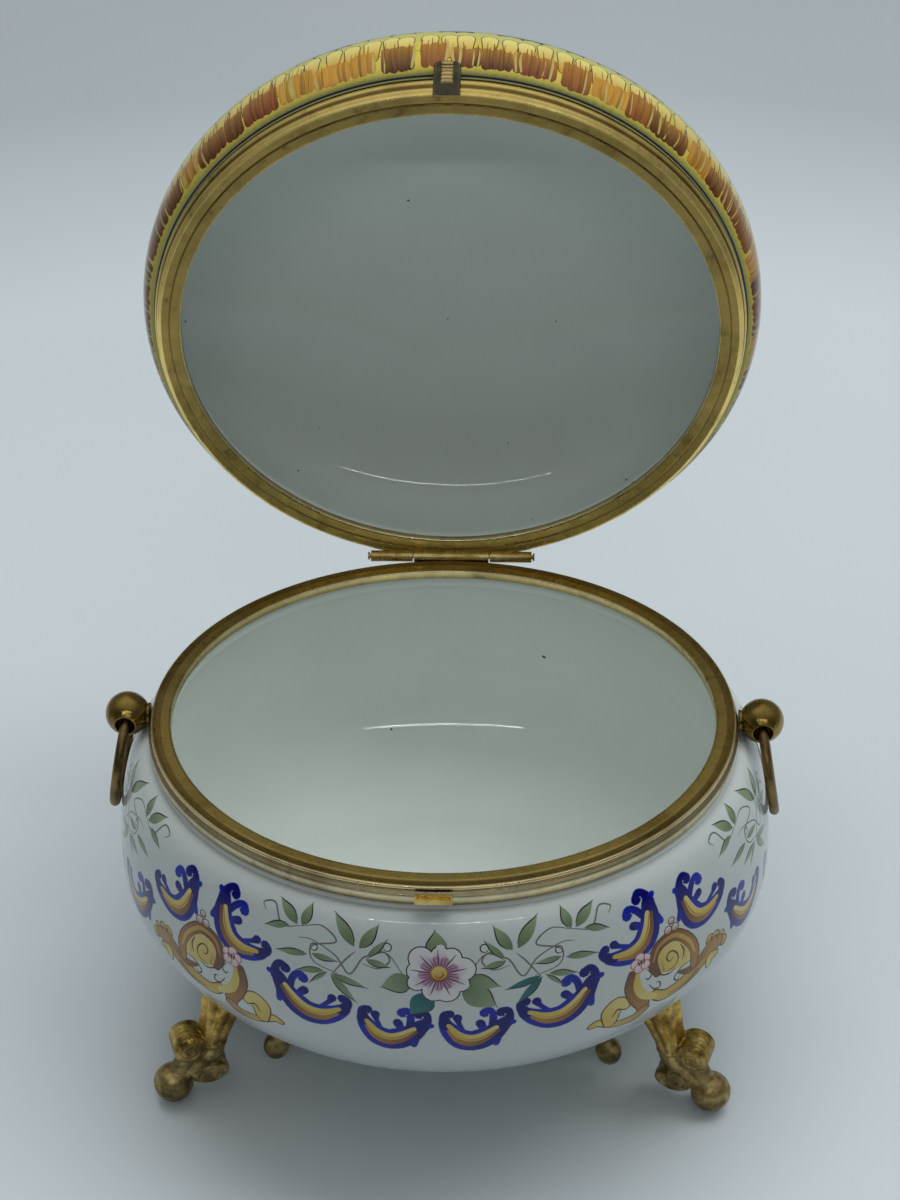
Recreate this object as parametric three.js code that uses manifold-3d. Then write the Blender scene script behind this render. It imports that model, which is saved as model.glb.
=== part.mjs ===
// A porcelain candy box in gilt mounts: an oval bowl on four scroll feet, two drop ring
// handles, and a domed lid on a back hinge, shown standing open.
// Millimetres, +Z up, front towards -Y. Heights named drop are measured down from the
// parting plane, where the bowl's rim meets the lid's.
import * as THREE from 'three';
import { mergeVertices } from 'three/addons/utils/BufferGeometryUtils.js';
import Module from 'manifold-3d';

// Driving sizes of the oval mouth and the stand
const mouthHalfLength = 57.5;
const mouthHalfDepth = 50.2;
const standHeight = 78.4;

// Porcelain bowl
const bowlWall = 4;
const bellySwell = 8.9;
const bellyDrop = 34.5;
const bowlDepth = 66.5;
const bellyFullness = 1.65;
const baseHalfLength = 34;
const baseRing = 3;
const baseRecess = 1;

// Porcelain lid
const lidWall = 3.8;
const lidSwell = 4.4;
const lidSwellHeight = 18;
const lidDomeHeight = 22.5;
const lidFullness = 2.5;

// Gilt rims: a flat land that caps the porcelain edge and a wall that wraps its outside
const landWidth = 4.4;
const rimMetal = 0.6;
const landThickness = 0.9;
const rimWallHeight = 4.6;
const rimBead = 0.5;
const innerLip = 1.9;
const lidReach = 1.3;
const lidRimHeight = 5;
const lidRimFlare = 1.7;
const porcelainStep = 0.3;
const porcelainRound = 0.5;
const neckStraight = 3;

// Clearances
const gap = 0.3;

// Back hinge
const hingeOut = 5.6;
const barrelRadius = 1.3;
const pinRadius = 0.5;
const pinHead = 0.4;
const barrelHalfLength = 18.6;
const middleKnuckleHalf = 8.8;
const leafThickness = 0.8;
const leafDrop = 4.4;
const openAngle = THREE.MathUtils.degToRad(92.5);

// Front catch and clasp
const catchWidth = 7.4;
const catchHeight = 2.4;
const catchPlate = 0.5;
const catchBarOut = 0.6;
const catchBarHeight = 1.3;
const catchDrop = 0.9;
const claspWidth = 5.6;
const claspPlate = 0.9;
const claspGripWidth = 2.8;
const claspGrip = 0.4;
const claspBelow = 2.6;
const claspRise = 7;

// Drop ring handles on ball knobs
const knobRadius = 4.72;
const knobDrop = 2.3;
const knobHole = 1.9;
const collarRadius = 2.3;
const collarLength = 2.2;
const ringRadius = 11.05;
const ringRod = 1.05;

// Scroll feet, as distances in from the ball and heights above the table
const footInset = 3.5;
const footTuck = 16;
const footTurn = THREE.MathUtils.degToRad(20);
const footBall = 4.35;
const footFlat = 0.18;
const footWidth = 6.4;
const neckIn = 9.2;
const neckHeight = 15;
const neckRadius = 2.9;
const neckCollar = 1.3;
const stemTopRadius = 8;
const stemLean = THREE.MathUtils.degToRad(17.5);
const stemFlutes = 8;
const fluteDepth = 0.1;
const outerRollRadius = 3.5;
const outerRollIn = 4.1;
const outerRollHeight = 15.4;
const innerRollRadius = 2.7;
const innerRollStretch = 1.6;
const innerRollIn = 7.8;
const innerRollHeight = 6.9;
const rollRound = 0.35;
const rollGroove = 0.93;
const armWidth = 3.2;
const armThickness = 2.2;
const paddleIn = 23.4;
const paddleHeight = 7.7;
const paddleHalfWidth = 3;
const paddleHalfHeight = 4.2;

// Facet counts
const ovalSteps = 36;
const roundSteps = 12;

const porcelain = new THREE.MeshStandardMaterial({ color: 0xe9ecea, roughness: 0.15 });
const lidPorcelain = new THREE.MeshStandardMaterial({ color: 0xd8c878, roughness: 0.15 });
const gilt = new THREE.MeshStandardMaterial({ color: 0xa5823f, roughness: 0.35, metalness: 1 });
const dullGilt = new THREE.MeshStandardMaterial({ color: 0x86693a, roughness: 0.5, metalness: 1 });

// Sizes that follow from the ones above
const ovalShift = mouthHalfLength - mouthHalfDepth;
const rimOuter = mouthHalfLength + landWidth;
const rimBelly = rimOuter + rimBead;
const neckOuter = rimOuter - rimMetal - gap;
const neckInner = mouthHalfLength + rimMetal + gap;
const bellyHalfLength = rimOuter + bellySwell;
const lidInner = mouthHalfLength + lidReach;
const lidRimOuter = lidInner + landWidth;
const lidHalfLength = lidRimOuter + lidRimFlare + lidSwell;
const lidTop = lidSwellHeight + lidDomeHeight;
const hingeY = mouthHalfDepth + hingeOut;
const hingeZ = gap / 2;
const knobX = rimBelly + gap + knobRadius - 0.1;
const footOut = rimOuter - footInset;
const footForward = rimOuter - ovalShift - footTuck;
const ringOffset = (ringRadius - Math.sqrt(ringRadius ** 2 - knobRadius ** 2)) * 0.4;
const ringCentreDrop = ringRadius - ringOffset;

const wasm = await Module();
wasm.setup();

// One closed solid from any geometry, with its faces turned outwards
function solid(geometry) {
  const bare = geometry.index ? geometry.toNonIndexed() : geometry;
  bare.deleteAttribute('normal');
  bare.deleteAttribute('uv');
  const merged = mergeVertices(bare, 1e-4);
  const vertices = merged.attributes.position.array;
  const kept = [];
  let volume = 0;
  const corner = [new THREE.Vector3(), new THREE.Vector3(), new THREE.Vector3()];
  for (let i = 0; i < merged.index.count; i += 3) {
    const face = [0, 1, 2].map((k) => merged.index.getX(i + k));
    if (new Set(face).size < 3) continue;
    kept.push(face);
    face.forEach((v, k) => corner[k].fromArray(vertices, 3 * v));
    volume += corner[0].dot(corner[1].cross(corner[2]));
  }
  const turned = volume < 0 ? kept.map((face) => [face[0], face[2], face[1]]) : kept;
  const mesh = new wasm.Mesh({
    numProp: 3,
    vertProperties: new Float32Array(vertices),
    triVerts: new Uint32Array(turned.flat()),
  });
  return new wasm.Manifold(mesh);
}

function join(parts) {
  return parts.reduce((whole, part) => whole.add(part));
}

// A named mesh from a solid
function piece(name, body, material) {
  const mesh = body.getMesh();
  const geometry = new THREE.BufferGeometry();
  geometry.setAttribute('position', new THREE.BufferAttribute(mesh.vertProperties.slice(), 3));
  geometry.setIndex(Array.from(mesh.triVerts));
  geometry.computeVertexNormals();
  const node = new THREE.Mesh(geometry, material);
  node.name = name;
  return node;
}

// A closed profile of [half length, height] pairs turned round the oval: the long axis
// keeps the half length, and the short axis is ovalShift less
function ovalTurn(profile) {
  const points = [...profile, profile[0]].map(([r, z]) => new THREE.Vector2(r, z));
  const geometry = new THREE.LatheGeometry(points, ovalSteps);
  geometry.rotateX(Math.PI / 2);
  const position = geometry.attributes.position;
  for (let i = 0; i < position.count; i += 1) {
    const r = Math.hypot(position.getX(i), position.getY(i));
    const shorter = r > 0 ? 1 - (ovalShift * Math.min(1, r / baseHalfLength)) / r : 1;
    position.setY(i, position.getY(i) * shorter);
  }
  return solid(geometry);
}

// A quarter of a rounded square between two [half length, height] corners, without its start
function quarter(from, to, fullness, steps, startsUpright) {
  const points = [];
  for (let i = 1; i <= steps; i += 1) {
    const turn = (i / steps) * (Math.PI / 2);
    const fast = Math.sin(turn) ** (2 / fullness);
    const slow = 1 - Math.cos(turn) ** (2 / fullness);
    const [across, along] = startsUpright ? [slow, fast] : [fast, slow];
    points.push([from[0] + (to[0] - from[0]) * across, from[1] + (to[1] - from[1]) * along]);
  }
  return points;
}

// The bowl's outside, from its neck down to the base, grown by a margin
function bowlOutside(grow) {
  const shoulder = [rimOuter + porcelainStep + grow, -(rimWallHeight + gap + porcelainRound)];
  const belly = [bellyHalfLength + grow, -bellyDrop];
  const base = [baseHalfLength + grow, -(bowlDepth + grow)];
  return [
    shoulder,
    ...quarter(shoulder, belly, 2, 4, false),
    ...quarter(belly, base, bellyFullness, 6, true),
  ];
}

function bowl() {
  const lip = -(landThickness + gap);
  const inside = [neckInner, -(innerLip + neckStraight)];
  const bellyInside = [bellyHalfLength - bowlWall, -bellyDrop];
  const floor = [baseHalfLength - bowlWall / 2, -(bowlDepth - bowlWall)];
  const recess = -(bowlDepth - baseRecess);
  return ovalTurn([
    [neckOuter, lip],
    [neckOuter, -(rimWallHeight + gap)],
    ...bowlOutside(0),
    [baseHalfLength - baseRing, -bowlDepth],
    [baseHalfLength - baseRing - baseRecess, recess],
    [0, recess],
    [0, floor[1]],
    floor,
    ...quarter(bellyInside, floor, bellyFullness, 5, true).slice(0, -1).reverse(),
    bellyInside,
    ...quarter(inside, bellyInside, 2, 3, false).slice(0, -1).reverse(),
    inside,
    [neckInner, lip],
  ]);
}

// The space the hinge barrel turns in, cut out of both rims
function barrelRoom(z) {
  return cylinderX(barrelRadius + gap, barrelHalfLength + gap, hingeY, z);
}

function bowlRim() {
  const ring = ovalTurn([
    [mouthHalfLength, 0],
    [rimOuter - rimMetal, 0],
    [rimOuter, -rimMetal],
    [rimOuter - rimBead / 2, -rimMetal - rimBead],
    [rimBelly, -rimWallHeight * 0.45],
    [rimBelly, -rimWallHeight * 0.75],
    [rimOuter, -rimWallHeight],
    [rimOuter - rimMetal, -rimWallHeight],
    [rimOuter - rimMetal, -landThickness],
    [mouthHalfLength + rimMetal, -landThickness],
    [mouthHalfLength + rimMetal, -innerLip],
    [mouthHalfLength, -innerLip],
  ]);
  return ring.subtract(barrelRoom(hingeZ));
}

// The lid is modelled shut, with heights up from its own flat land
function lidWallAt(height) {
  return lidRimOuter + (lidRimFlare * height) / lidRimHeight;
}

const lidEdge = [lidWallAt(lidRimHeight) + porcelainStep, lidRimHeight + gap + porcelainRound];

function lidOutside() {
  const widest = [lidHalfLength, lidSwellHeight];
  return [
    lidEdge,
    ...quarter(lidEdge, widest, 2, 3, false),
    ...quarter(widest, [0, lidTop], lidFullness, 6, true),
  ];
}

// Half length of the lid's outside at a height below its widest
function lidOutsideAt(height) {
  const along = (lidSwellHeight - height) / (lidSwellHeight - lidEdge[1]);
  return lidEdge[0] + (lidHalfLength - lidEdge[0]) * Math.sqrt(1 - along ** 2);
}

function lidDome() {
  const lip = landThickness + gap;
  const inner = lidInner + rimMetal + gap;
  const widest = [lidHalfLength - lidWall, lidSwellHeight];
  const inside = [inner, innerLip + neckStraight];
  return ovalTurn([
    [lidWallAt(lip) - rimMetal - gap, lip],
    [lidWallAt(lidRimHeight) - rimMetal - gap, lidRimHeight + gap],
    ...lidOutside(),
    [0, lidTop - lidWall],
    ...quarter(widest, [0, lidTop - lidWall], lidFullness, 5, true).slice(0, -1).reverse(),
    widest,
    ...quarter(inside, widest, 2, 2, false).slice(0, -1).reverse(),
    inside,
    [inner, lip],
  ]);
}

function lidRim() {
  const ring = ovalTurn([
    [lidInner, 0],
    [lidRimOuter, 0],
    [lidWallAt(lidRimHeight * 0.2) + rimBead, lidRimHeight * 0.2],
    [lidWallAt(lidRimHeight * 0.45), lidRimHeight * 0.45],
    [lidWallAt(lidRimHeight * 0.7) + rimBead, lidRimHeight * 0.7],
    [lidWallAt(lidRimHeight), lidRimHeight],
    [lidWallAt(lidRimHeight) - rimMetal, lidRimHeight],
    [lidWallAt(landThickness) - rimMetal, landThickness],
    [lidInner + rimMetal, landThickness],
    [lidInner + rimMetal, innerLip],
    [lidInner, innerLip],
  ]);
  return ring.subtract(barrelRoom(hingeZ - gap));
}

function cylinderX(radius, halfLength, y, z, steps = roundSteps, shiftX = 0) {
  const geometry = new THREE.CylinderGeometry(radius, radius, 2 * halfLength, steps);
  geometry.rotateZ(Math.PI / 2);
  geometry.translate(shiftX, y, z);
  return solid(geometry);
}

function block(width, depth, height, x, y, z) {
  const geometry = new THREE.BoxGeometry(width, depth, height);
  geometry.translate(x, y, z);
  return solid(geometry);
}

// An outline of [y, z] pairs made into a plate of the given width, centred on x
function plateX(outline, width, x = 0) {
  const shape = new THREE.Shape(outline.map(([y, z]) => new THREE.Vector2(y, z)));
  const geometry = new THREE.ExtrudeGeometry(shape, { depth: width, bevelEnabled: false });
  geometry.translate(0, 0, -width / 2);
  geometry.applyMatrix4(new THREE.Matrix4().makeBasis(
    new THREE.Vector3(0, 1, 0), new THREE.Vector3(0, 0, 1), new THREE.Vector3(1, 0, 0)));
  geometry.translate(x, 0, 0);
  return solid(geometry);
}

// The bowl's half of the hinge: the middle knuckle with its leaf down the rim's wall
function bowlKnuckle() {
  const inner = rimBelly - ovalShift + gap;
  const outer = inner + leafThickness;
  const barrel = cylinderX(barrelRadius, middleKnuckleHalf - gap / 2, hingeY, hingeZ);
  const leaf = plateX([
    [inner, -leafDrop],
    [outer, -leafDrop],
    [outer, hingeZ - barrelRadius * 0.6],
    [Math.max(inner, hingeY - barrelRadius * 0.6), hingeZ - barrelRadius * 0.6],
    [inner, hingeZ - barrelRadius],
  ], 2 * middleKnuckleHalf - gap);
  const bore = cylinderX(pinRadius + gap, barrelHalfLength, hingeY, hingeZ);
  return barrel.add(leaf).subtract(bore);
}

function hingePin() {
  const heads = [-1, 1].map((side) => cylinderX(
    barrelRadius * 0.7, pinHead / 2, hingeY, hingeZ, roundSteps,
    side * (barrelHalfLength + gap + pinHead / 2)));
  const shaft = cylinderX(pinRadius, barrelHalfLength + gap + pinHead / 2, hingeY, hingeZ, 12);
  return join([shaft, ...heads]);
}

// One of the lid's two knuckles, its leaf lying up the back of the lid rim
function lidKnuckle(side) {
  const half = (barrelHalfLength - middleKnuckleHalf - gap / 2) / 2;
  const middle = side * (middleKnuckleHalf + gap / 2 + half);
  const axisHeight = hingeZ - gap;
  const stand = (height) => lidWallAt(height) + rimBead + gap - ovalShift;
  const low = lidRimHeight * 0.3;
  const leaf = plateX([
    [stand(low), low],
    [hingeY + barrelRadius * 0.5, axisHeight + barrelRadius * 0.4],
    [hingeY + barrelRadius * 0.95, axisHeight],
    [stand(lidRimHeight) + leafThickness, lidRimHeight],
    [stand(lidRimHeight), lidRimHeight],
  ], 2 * half, middle);
  const barrel = cylinderX(barrelRadius, half, hingeY, axisHeight, roundSteps, middle);
  const bore = cylinderX(pinRadius + gap, barrelHalfLength + gap, hingeY, axisHeight);
  return barrel.add(leaf).subtract(bore);
}

// The catch on the front of the bowl's rim: a plate with a bar that the clasp snaps over
function frontCatch() {
  const face = -(rimBelly - ovalShift + gap);
  const middle = -(catchDrop + catchHeight / 2);
  const plate = block(catchWidth, catchPlate, catchHeight, 0, face - catchPlate / 2, middle);
  const barWidth = catchWidth - 2 * catchPlate;
  const bar = block(barWidth, catchBarOut + catchPlate, catchBarHeight, 0,
    face - (catchBarOut + catchPlate) / 2, middle);
  return plate.add(bar);
}

// The clasp on the lid: a spring tongue over the rim's wall that flares into a thumb piece
function clasp() {
  const front = (r) => -(r - ovalShift);
  const near = lidRimOuter + rimBead + gap;
  const atTop = lidWallAt(lidRimHeight) + rimBead + gap;
  const tip = lidOutsideAt(claspRise) + gap;
  const inner = [
    [near, -claspBelow],
    [atTop, lidRimHeight],
    [lidOutsideAt(lidRimHeight + 2) + gap, lidRimHeight + 1.4],
    [tip, claspRise],
  ];
  const outerEdge = inner.map(([r, h]) => [r + claspPlate, h - claspPlate * 0.25]).reverse();
  const outline = [...inner, ...outerEdge].map(([r, h]) => [front(r), h]);
  const grip = outerEdge.slice(0, 3);
  const raised = grip.map(([r, h]) => [r + claspGrip, h - claspGrip * 0.6]).reverse();
  const sunk = grip.map(([r, h]) => [r - claspGrip / 2, h]);
  const gripOutline = [...sunk, ...raised].map(([r, h]) => [front(r), h]);
  return plateX(outline, claspWidth).add(plateX(gripOutline, claspGripWidth));
}

// A ball knob on a short collar, drilled from front to back for the ring
function knob(side) {
  const ball = new THREE.SphereGeometry(knobRadius, roundSteps + 2, 8);
  ball.rotateX(Math.PI / 2);
  const start = rimBelly + gap - knobX;
  const collar = new THREE.CylinderGeometry(collarRadius, collarRadius * 0.85, collarLength, roundSteps);
  collar.rotateZ(Math.PI / 2);
  collar.translate(start + collarLength / 2, 0, 0);
  const hole = new THREE.CylinderGeometry(knobHole, knobHole, 3 * knobRadius, roundSteps);
  const inward = block(20, 20, 20, start - 10, 0, 0);
  const whole = solid(ball).add(solid(collar)).subtract(inward).subtract(solid(hole));
  return side > 0 ? whole : whole.mirror([1, 0, 0]);
}

// How far a hanging ring leans outwards to rest on the belly
function ringLean() {
  const profile = bowlOutside(gap);
  let lean = 0;
  for (let i = 0; i + 1 < profile.length; i += 1) {
    for (let part = 0; part < 1; part += 0.1) {
      const r = profile[i][0] + (profile[i + 1][0] - profile[i][0]) * part;
      const z = profile[i][1] + (profile[i + 1][1] - profile[i][1]) * part;
      const out = r + ringRod - knobX;
      const down = -z - knobDrop;
      const reach = Math.hypot(out, down);
      const inRing = down > 0 && reach < ringCentreDrop + ringRadius + ringRod;
      if (inRing) lean = Math.max(lean, Math.atan2(out, down));
    }
  }
  return lean;
}

function ring(side) {
  const geometry = new THREE.TorusGeometry(ringRadius, ringRod, 7, 24);
  geometry.rotateY(Math.PI / 2);
  const node = piece(side > 0 ? 'ring_right' : 'ring_left', solid(geometry), dullGilt);
  node.position.z = -ringCentreDrop;
  const swing = new THREE.Group();
  swing.position.set(side * knobX, 0, -knobDrop);
  swing.rotation.y = -side * ringLean();
  swing.add(node);
  return swing;
}

// The foot is drawn in its own plane, x out from the ball's centre, z up from the table
function fluteStem(length) {
  const steps = 2 * stemFlutes;
  const points = [[0, 0]];
  for (let i = 0; i <= 3; i += 1) {
    const t = i / 3;
    points.push([neckRadius + (stemTopRadius - neckRadius) * t ** 1.6, length * t]);
  }
  points.push([0, length]);
  const geometry = new THREE.LatheGeometry(points.map(([r, z]) => new THREE.Vector2(r, z)), steps);
  geometry.rotateX(Math.PI / 2);
  const position = geometry.attributes.position;
  for (let i = 0; i < position.count; i += 1) {
    const turn = Math.atan2(position.getY(i), position.getX(i));
    const ripple = 1 + fluteDepth * Math.cos(stemFlutes * turn);
    position.setX(i, position.getX(i) * ripple);
    position.setY(i, position.getY(i) * ripple);
  }
  geometry.rotateY(-stemLean);
  geometry.translate(-neckIn, 0, neckHeight);
  return solid(geometry);
}

// A roll lying across the foot, with ridges round it
function roll(radius, stretch, x, z, ridges) {
  const half = footWidth / 2;
  const points = [[0, -half]];
  for (let i = 0; i <= ridges; i += 1) {
    const along = half * ((2 * i) / ridges - 1);
    points.push([i === 0 || i === ridges ? radius - rollRound : radius, along]);
    if (i < ridges) points.push([radius * rollGroove, along + half / ridges]);
  }
  points.push([0, half]);
  const geometry = new THREE.LatheGeometry(points.map(([r, y]) => new THREE.Vector2(r, y)), 9);
  geometry.scale(stretch, 1, 1);
  geometry.translate(x, 0, z);
  return solid(geometry);
}

function plateY(outline, width) {
  const shape = new THREE.Shape(outline.map(([x, z]) => new THREE.Vector2(x, z)));
  const geometry = new THREE.ExtrudeGeometry(shape, { depth: width, bevelEnabled: false });
  geometry.translate(0, 0, -width / 2);
  geometry.rotateX(Math.PI / 2);
  return solid(geometry);
}

// Height over the table of the bowl's outside above a point of the foot's plane
function bowlHeightOver(along) {
  const x = footOut + along * Math.cos(footTurn);
  const y = footForward + along * Math.sin(footTurn);
  const profile = bowlOutside(0).filter(([, z]) => z <= -bellyDrop);
  const outsideOf = ([r]) => (x / r) ** 2 + (y / (r - ovalShift)) ** 2 > 1;
  const i = profile.findIndex(outsideOf);
  if (i < 1) return standHeight - (i < 0 ? bowlDepth : bellyDrop);
  const reach = ([r]) => Math.sqrt((x / r) ** 2 + (y / (r - ovalShift)) ** 2) - 1;
  const share = reach(profile[i - 1]) / (reach(profile[i - 1]) - reach(profile[i]));
  return standHeight + profile[i - 1][1] + (profile[i][1] - profile[i - 1][1]) * share;
}

// The arm runs in from the stem close under the bowl and turns down to the paddle
function footArm() {
  const under = (along) => [along, bowlHeightOver(along) - armThickness];
  const over = (along) => [along, bowlHeightOver(along) + armThickness];
  const stemIn = -neckIn - neckRadius;
  const half = paddleHalfWidth * 0.45;
  const bend = -paddleIn + half;
  const middle = (stemIn + bend) / 2;
  return plateY([
    [-neckIn, bowlHeightOver(stemIn) - 2 * armThickness],
    [stemIn, bowlHeightOver(stemIn) - 2 * armThickness],
    under((stemIn + middle) / 2),
    under(middle),
    [bend + armThickness * 0.3, bowlHeightOver(bend) - 1.2 * armThickness],
    [bend, bowlHeightOver(bend) - 2 * armThickness],
    [bend, paddleHeight + paddleHalfHeight * 0.6],
    [bend - 2 * half, paddleHeight + paddleHalfHeight * 0.6],
    [bend - 2 * half, bowlHeightOver(bend) - 2 * armThickness],
    under(bend - 3 * half),
    over(bend - 3 * half),
    over(middle),
    over(-neckIn),
  ], armWidth);
}

function footCasting() {
  const collar = new THREE.CylinderGeometry(neckRadius * 1.07, neckRadius * 1.24, neckCollar, roundSteps);
  collar.rotateX(Math.PI / 2);
  collar.rotateY(-stemLean);
  collar.translate(-neckIn, 0, neckHeight);
  const ball = new THREE.SphereGeometry(footBall, 11, 7);
  ball.rotateX(Math.PI / 2);
  ball.translate(0, 0, footBall - footFlat);
  const knee = plateY([
    [-neckIn - neckRadius, neckHeight - 0.4],
    [-neckIn + neckRadius, neckHeight + 0.9],
    [-outerRollIn + 0.5, outerRollHeight - 1],
    [-0.5, footBall * 1.7],
    [-innerRollIn + innerRollRadius, innerRollHeight - innerRollRadius * 0.9],
    [-innerRollIn - innerRollRadius * innerRollStretch * 0.9, innerRollHeight],
  ], footWidth * 0.78);
  const paddle = new THREE.SphereGeometry(1, 8, 6);
  paddle.rotateX(Math.PI / 2);
  paddle.scale(paddleHalfWidth, armWidth * 0.62, paddleHalfHeight);
  paddle.translate(-paddleIn, 0, paddleHeight);
  const whole = join([
    solid(ball),
    knee,
    solid(collar),
    fluteStem(standHeight - neckHeight - bellyDrop),
    roll(outerRollRadius, 1, -outerRollIn, outerRollHeight, 3),
    roll(innerRollRadius, innerRollStretch, -innerRollIn, innerRollHeight, 1),
    footArm(),
    solid(paddle),
  ]);
  const below = block(99, 99, 20, 0, 0, -10);
  return whole.subtract(below);
}

// One foot in its place, cut off clear of the bowl's underside
function foot(name, side, end, casting, bowlRoom) {
  const turned = casting.rotate([0, 0, (-footTurn * 180) / Math.PI])
    .translate([footOut, -footForward, -standHeight]);
  const placed = turned.subtract(bowlRoom);
  const mirroredX = side > 0 ? placed : placed.mirror([1, 0, 0]);
  const mirrored = end < 0 ? mirroredX : mirroredX.mirror([0, 1, 0]);
  return piece(name, mirrored, dullGilt);
}

function feet() {
  const casting = footCasting();
  const outside = bowlOutside(gap);
  const bowlRoom = ovalTurn([[0, outside[0][1]], ...outside, [0, outside.at(-1)[1]]]);
  const places = [['front', -1], ['back', 1]];
  return places.flatMap(([where, end]) => [
    foot(`foot_${where}_left`, -1, end, casting, bowlRoom),
    foot(`foot_${where}_right`, 1, end, casting, bowlRoom),
  ]);
}

function knobAt(side) {
  const node = piece(side > 0 ? 'knob_right' : 'knob_left', knob(side), gilt);
  node.position.set(side * knobX, 0, -knobDrop);
  return node;
}

// The lid's pieces, shut, hung on the hinge line and turned back to where it stands open
function openLid() {
  const shut = new THREE.Group();
  shut.add(piece('lid', lidDome(), lidPorcelain));
  shut.add(piece('lid_rim', lidRim(), gilt));
  shut.add(piece('clasp', clasp(), gilt));
  shut.add(piece('hinge_knuckle_left', lidKnuckle(-1), gilt));
  shut.add(piece('hinge_knuckle_right', lidKnuckle(1), gilt));
  shut.position.set(0, -hingeY, gap - hingeZ);
  const swung = new THREE.Group();
  swung.add(shut);
  swung.position.set(0, hingeY, hingeZ);
  swung.rotation.x = -openAngle;
  return swung;
}

const box = new THREE.Group();
box.add(piece('bowl', bowl(), porcelain));
box.add(piece('bowl_rim', bowlRim(), gilt));
box.add(piece('catch', frontCatch(), gilt));
box.add(piece('hinge_knuckle_middle', bowlKnuckle(), gilt));
box.add(piece('hinge_pin', hingePin(), gilt));
feet().forEach((node) => box.add(node));
[-1, 1].forEach((side) => {
  box.add(knobAt(side));
  box.add(ring(side));
});
box.add(openLid());

// The origin is under the middle of the whole box, on the table
box.updateMatrixWorld(true);
const bounds = new THREE.Box3().setFromObject(box, true);
const middle = bounds.getCenter(new THREE.Vector3());
box.position.set(-middle.x, -middle.y, -bounds.min.z);

const candyBox = new THREE.Group();
candyBox.add(box);

export default candyBox;
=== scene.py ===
import math

import bpy
import numpy as np
from mathutils import Matrix, Vector
from mathutils.geometry import delaunay_2d_cdt


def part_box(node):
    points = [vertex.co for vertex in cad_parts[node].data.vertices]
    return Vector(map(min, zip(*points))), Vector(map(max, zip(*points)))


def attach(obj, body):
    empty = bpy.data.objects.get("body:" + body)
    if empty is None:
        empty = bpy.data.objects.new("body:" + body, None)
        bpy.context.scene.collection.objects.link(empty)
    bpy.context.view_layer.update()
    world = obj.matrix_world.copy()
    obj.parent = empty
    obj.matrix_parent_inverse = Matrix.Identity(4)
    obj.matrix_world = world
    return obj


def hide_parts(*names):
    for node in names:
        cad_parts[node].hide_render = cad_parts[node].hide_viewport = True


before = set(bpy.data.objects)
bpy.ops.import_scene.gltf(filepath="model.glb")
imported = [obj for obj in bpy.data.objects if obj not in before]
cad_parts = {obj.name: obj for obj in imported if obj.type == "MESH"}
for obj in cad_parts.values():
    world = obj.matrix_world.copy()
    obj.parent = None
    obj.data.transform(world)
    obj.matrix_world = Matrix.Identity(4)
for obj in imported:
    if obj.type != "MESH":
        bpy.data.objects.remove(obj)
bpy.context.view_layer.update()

MM = 0.001
DEGREE = math.pi / 180

# Sizes of the box in millimetres, the same as in its solids
mouth_half_length = 57.5
mouth_half_depth = 50.2
bowl_wall = 4.0
belly_swell = 8.9
belly_drop = 34.5
bowl_depth = 66.5
belly_fullness = 1.65
base_half_length = 34.0
base_ring = 3.0
base_recess = 1.0
lid_wall = 3.8
lid_swell = 4.4
lid_swell_height = 18.0
lid_dome_height = 22.5
lid_fullness = 2.5
land_width = 4.4
rim_metal = 0.6
land_thickness = 0.9
rim_wall_height = 4.6
rim_bead = 0.5
inner_lip = 1.9
lid_reach = 1.3
lid_rim_height = 5.0
lid_rim_flare = 1.7
porcelain_step = 0.3
porcelain_round = 0.5
neck_straight = 3.0
gap = 0.3
hinge_out = 5.6
open_angle = 92.5 * DEGREE
knob_radius = 4.72
knob_drop = 2.3
knob_hole = 1.9
collar_radius = 2.3
ring_radius = 11.05
ring_rod = 1.05
stand_height = 78.4
foot_inset = 3.5
foot_tuck = 16.0
foot_turn = 20 * DEGREE
foot_ball = 4.35
foot_flat = 0.18
foot_width = 6.4
neck_in = 9.2
neck_height = 15.0
neck_radius = 2.9
stem_top_radius = 8.0
stem_lean = 17.5 * DEGREE
stem_ribs = 9
outer_roll_radius = 3.5
outer_roll_in = 4.1
outer_roll_height = 15.4
inner_roll_radius = 2.7
inner_roll_stretch = 1.6
inner_roll_in = 7.8
inner_roll_height = 6.9
arm_width = 3.2
paddle_in = 23.4
paddle_height = 7.7
paddle_half_width = 3.0
paddle_half_height = 4.2
clasp_width = 5.6
clasp_rise = 7.0
clasp_below = 2.6
clasp_plate = 0.9
clasp_grip_width = 2.8
clasp_grip = 0.4

oval_shift = mouth_half_length - mouth_half_depth
rim_outer = mouth_half_length + land_width
rim_belly = rim_outer + rim_bead
belly_half_length = rim_outer + belly_swell
lid_inner = mouth_half_length + lid_reach
lid_rim_outer = lid_inner + land_width
lid_half_length = lid_rim_outer + lid_rim_flare + lid_swell
hinge_y = mouth_half_depth + hinge_out
hinge_z = gap / 2
knob_x = rim_belly + gap + knob_radius - 0.1
foot_out = rim_outer - foot_inset
foot_forward = rim_outer - oval_shift - foot_tuck
foot_span = [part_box("foot_front_left")[0][1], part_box("foot_back_left")[1][1]]
rim_centre = np.array([0.0, sum(foot_span) / 2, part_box("bowl_rim")[1][2]]) / MM

# How the smooth pieces are fitted and divided, in millimetres and steps
facet_ease = 0.13
lid_top = lid_swell_height + lid_dome_height - facet_ease
turn_steps = 240
ring_steps = 288
corner_steps = 5
sheet_step = 2.0
bowl_stretch = 1.17
lid_stretch = 1.16
bar_rows = 24
bar_sides = 16
foot_voxel = 0.25
clasp_rows = 81
clasp_columns = 33

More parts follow.
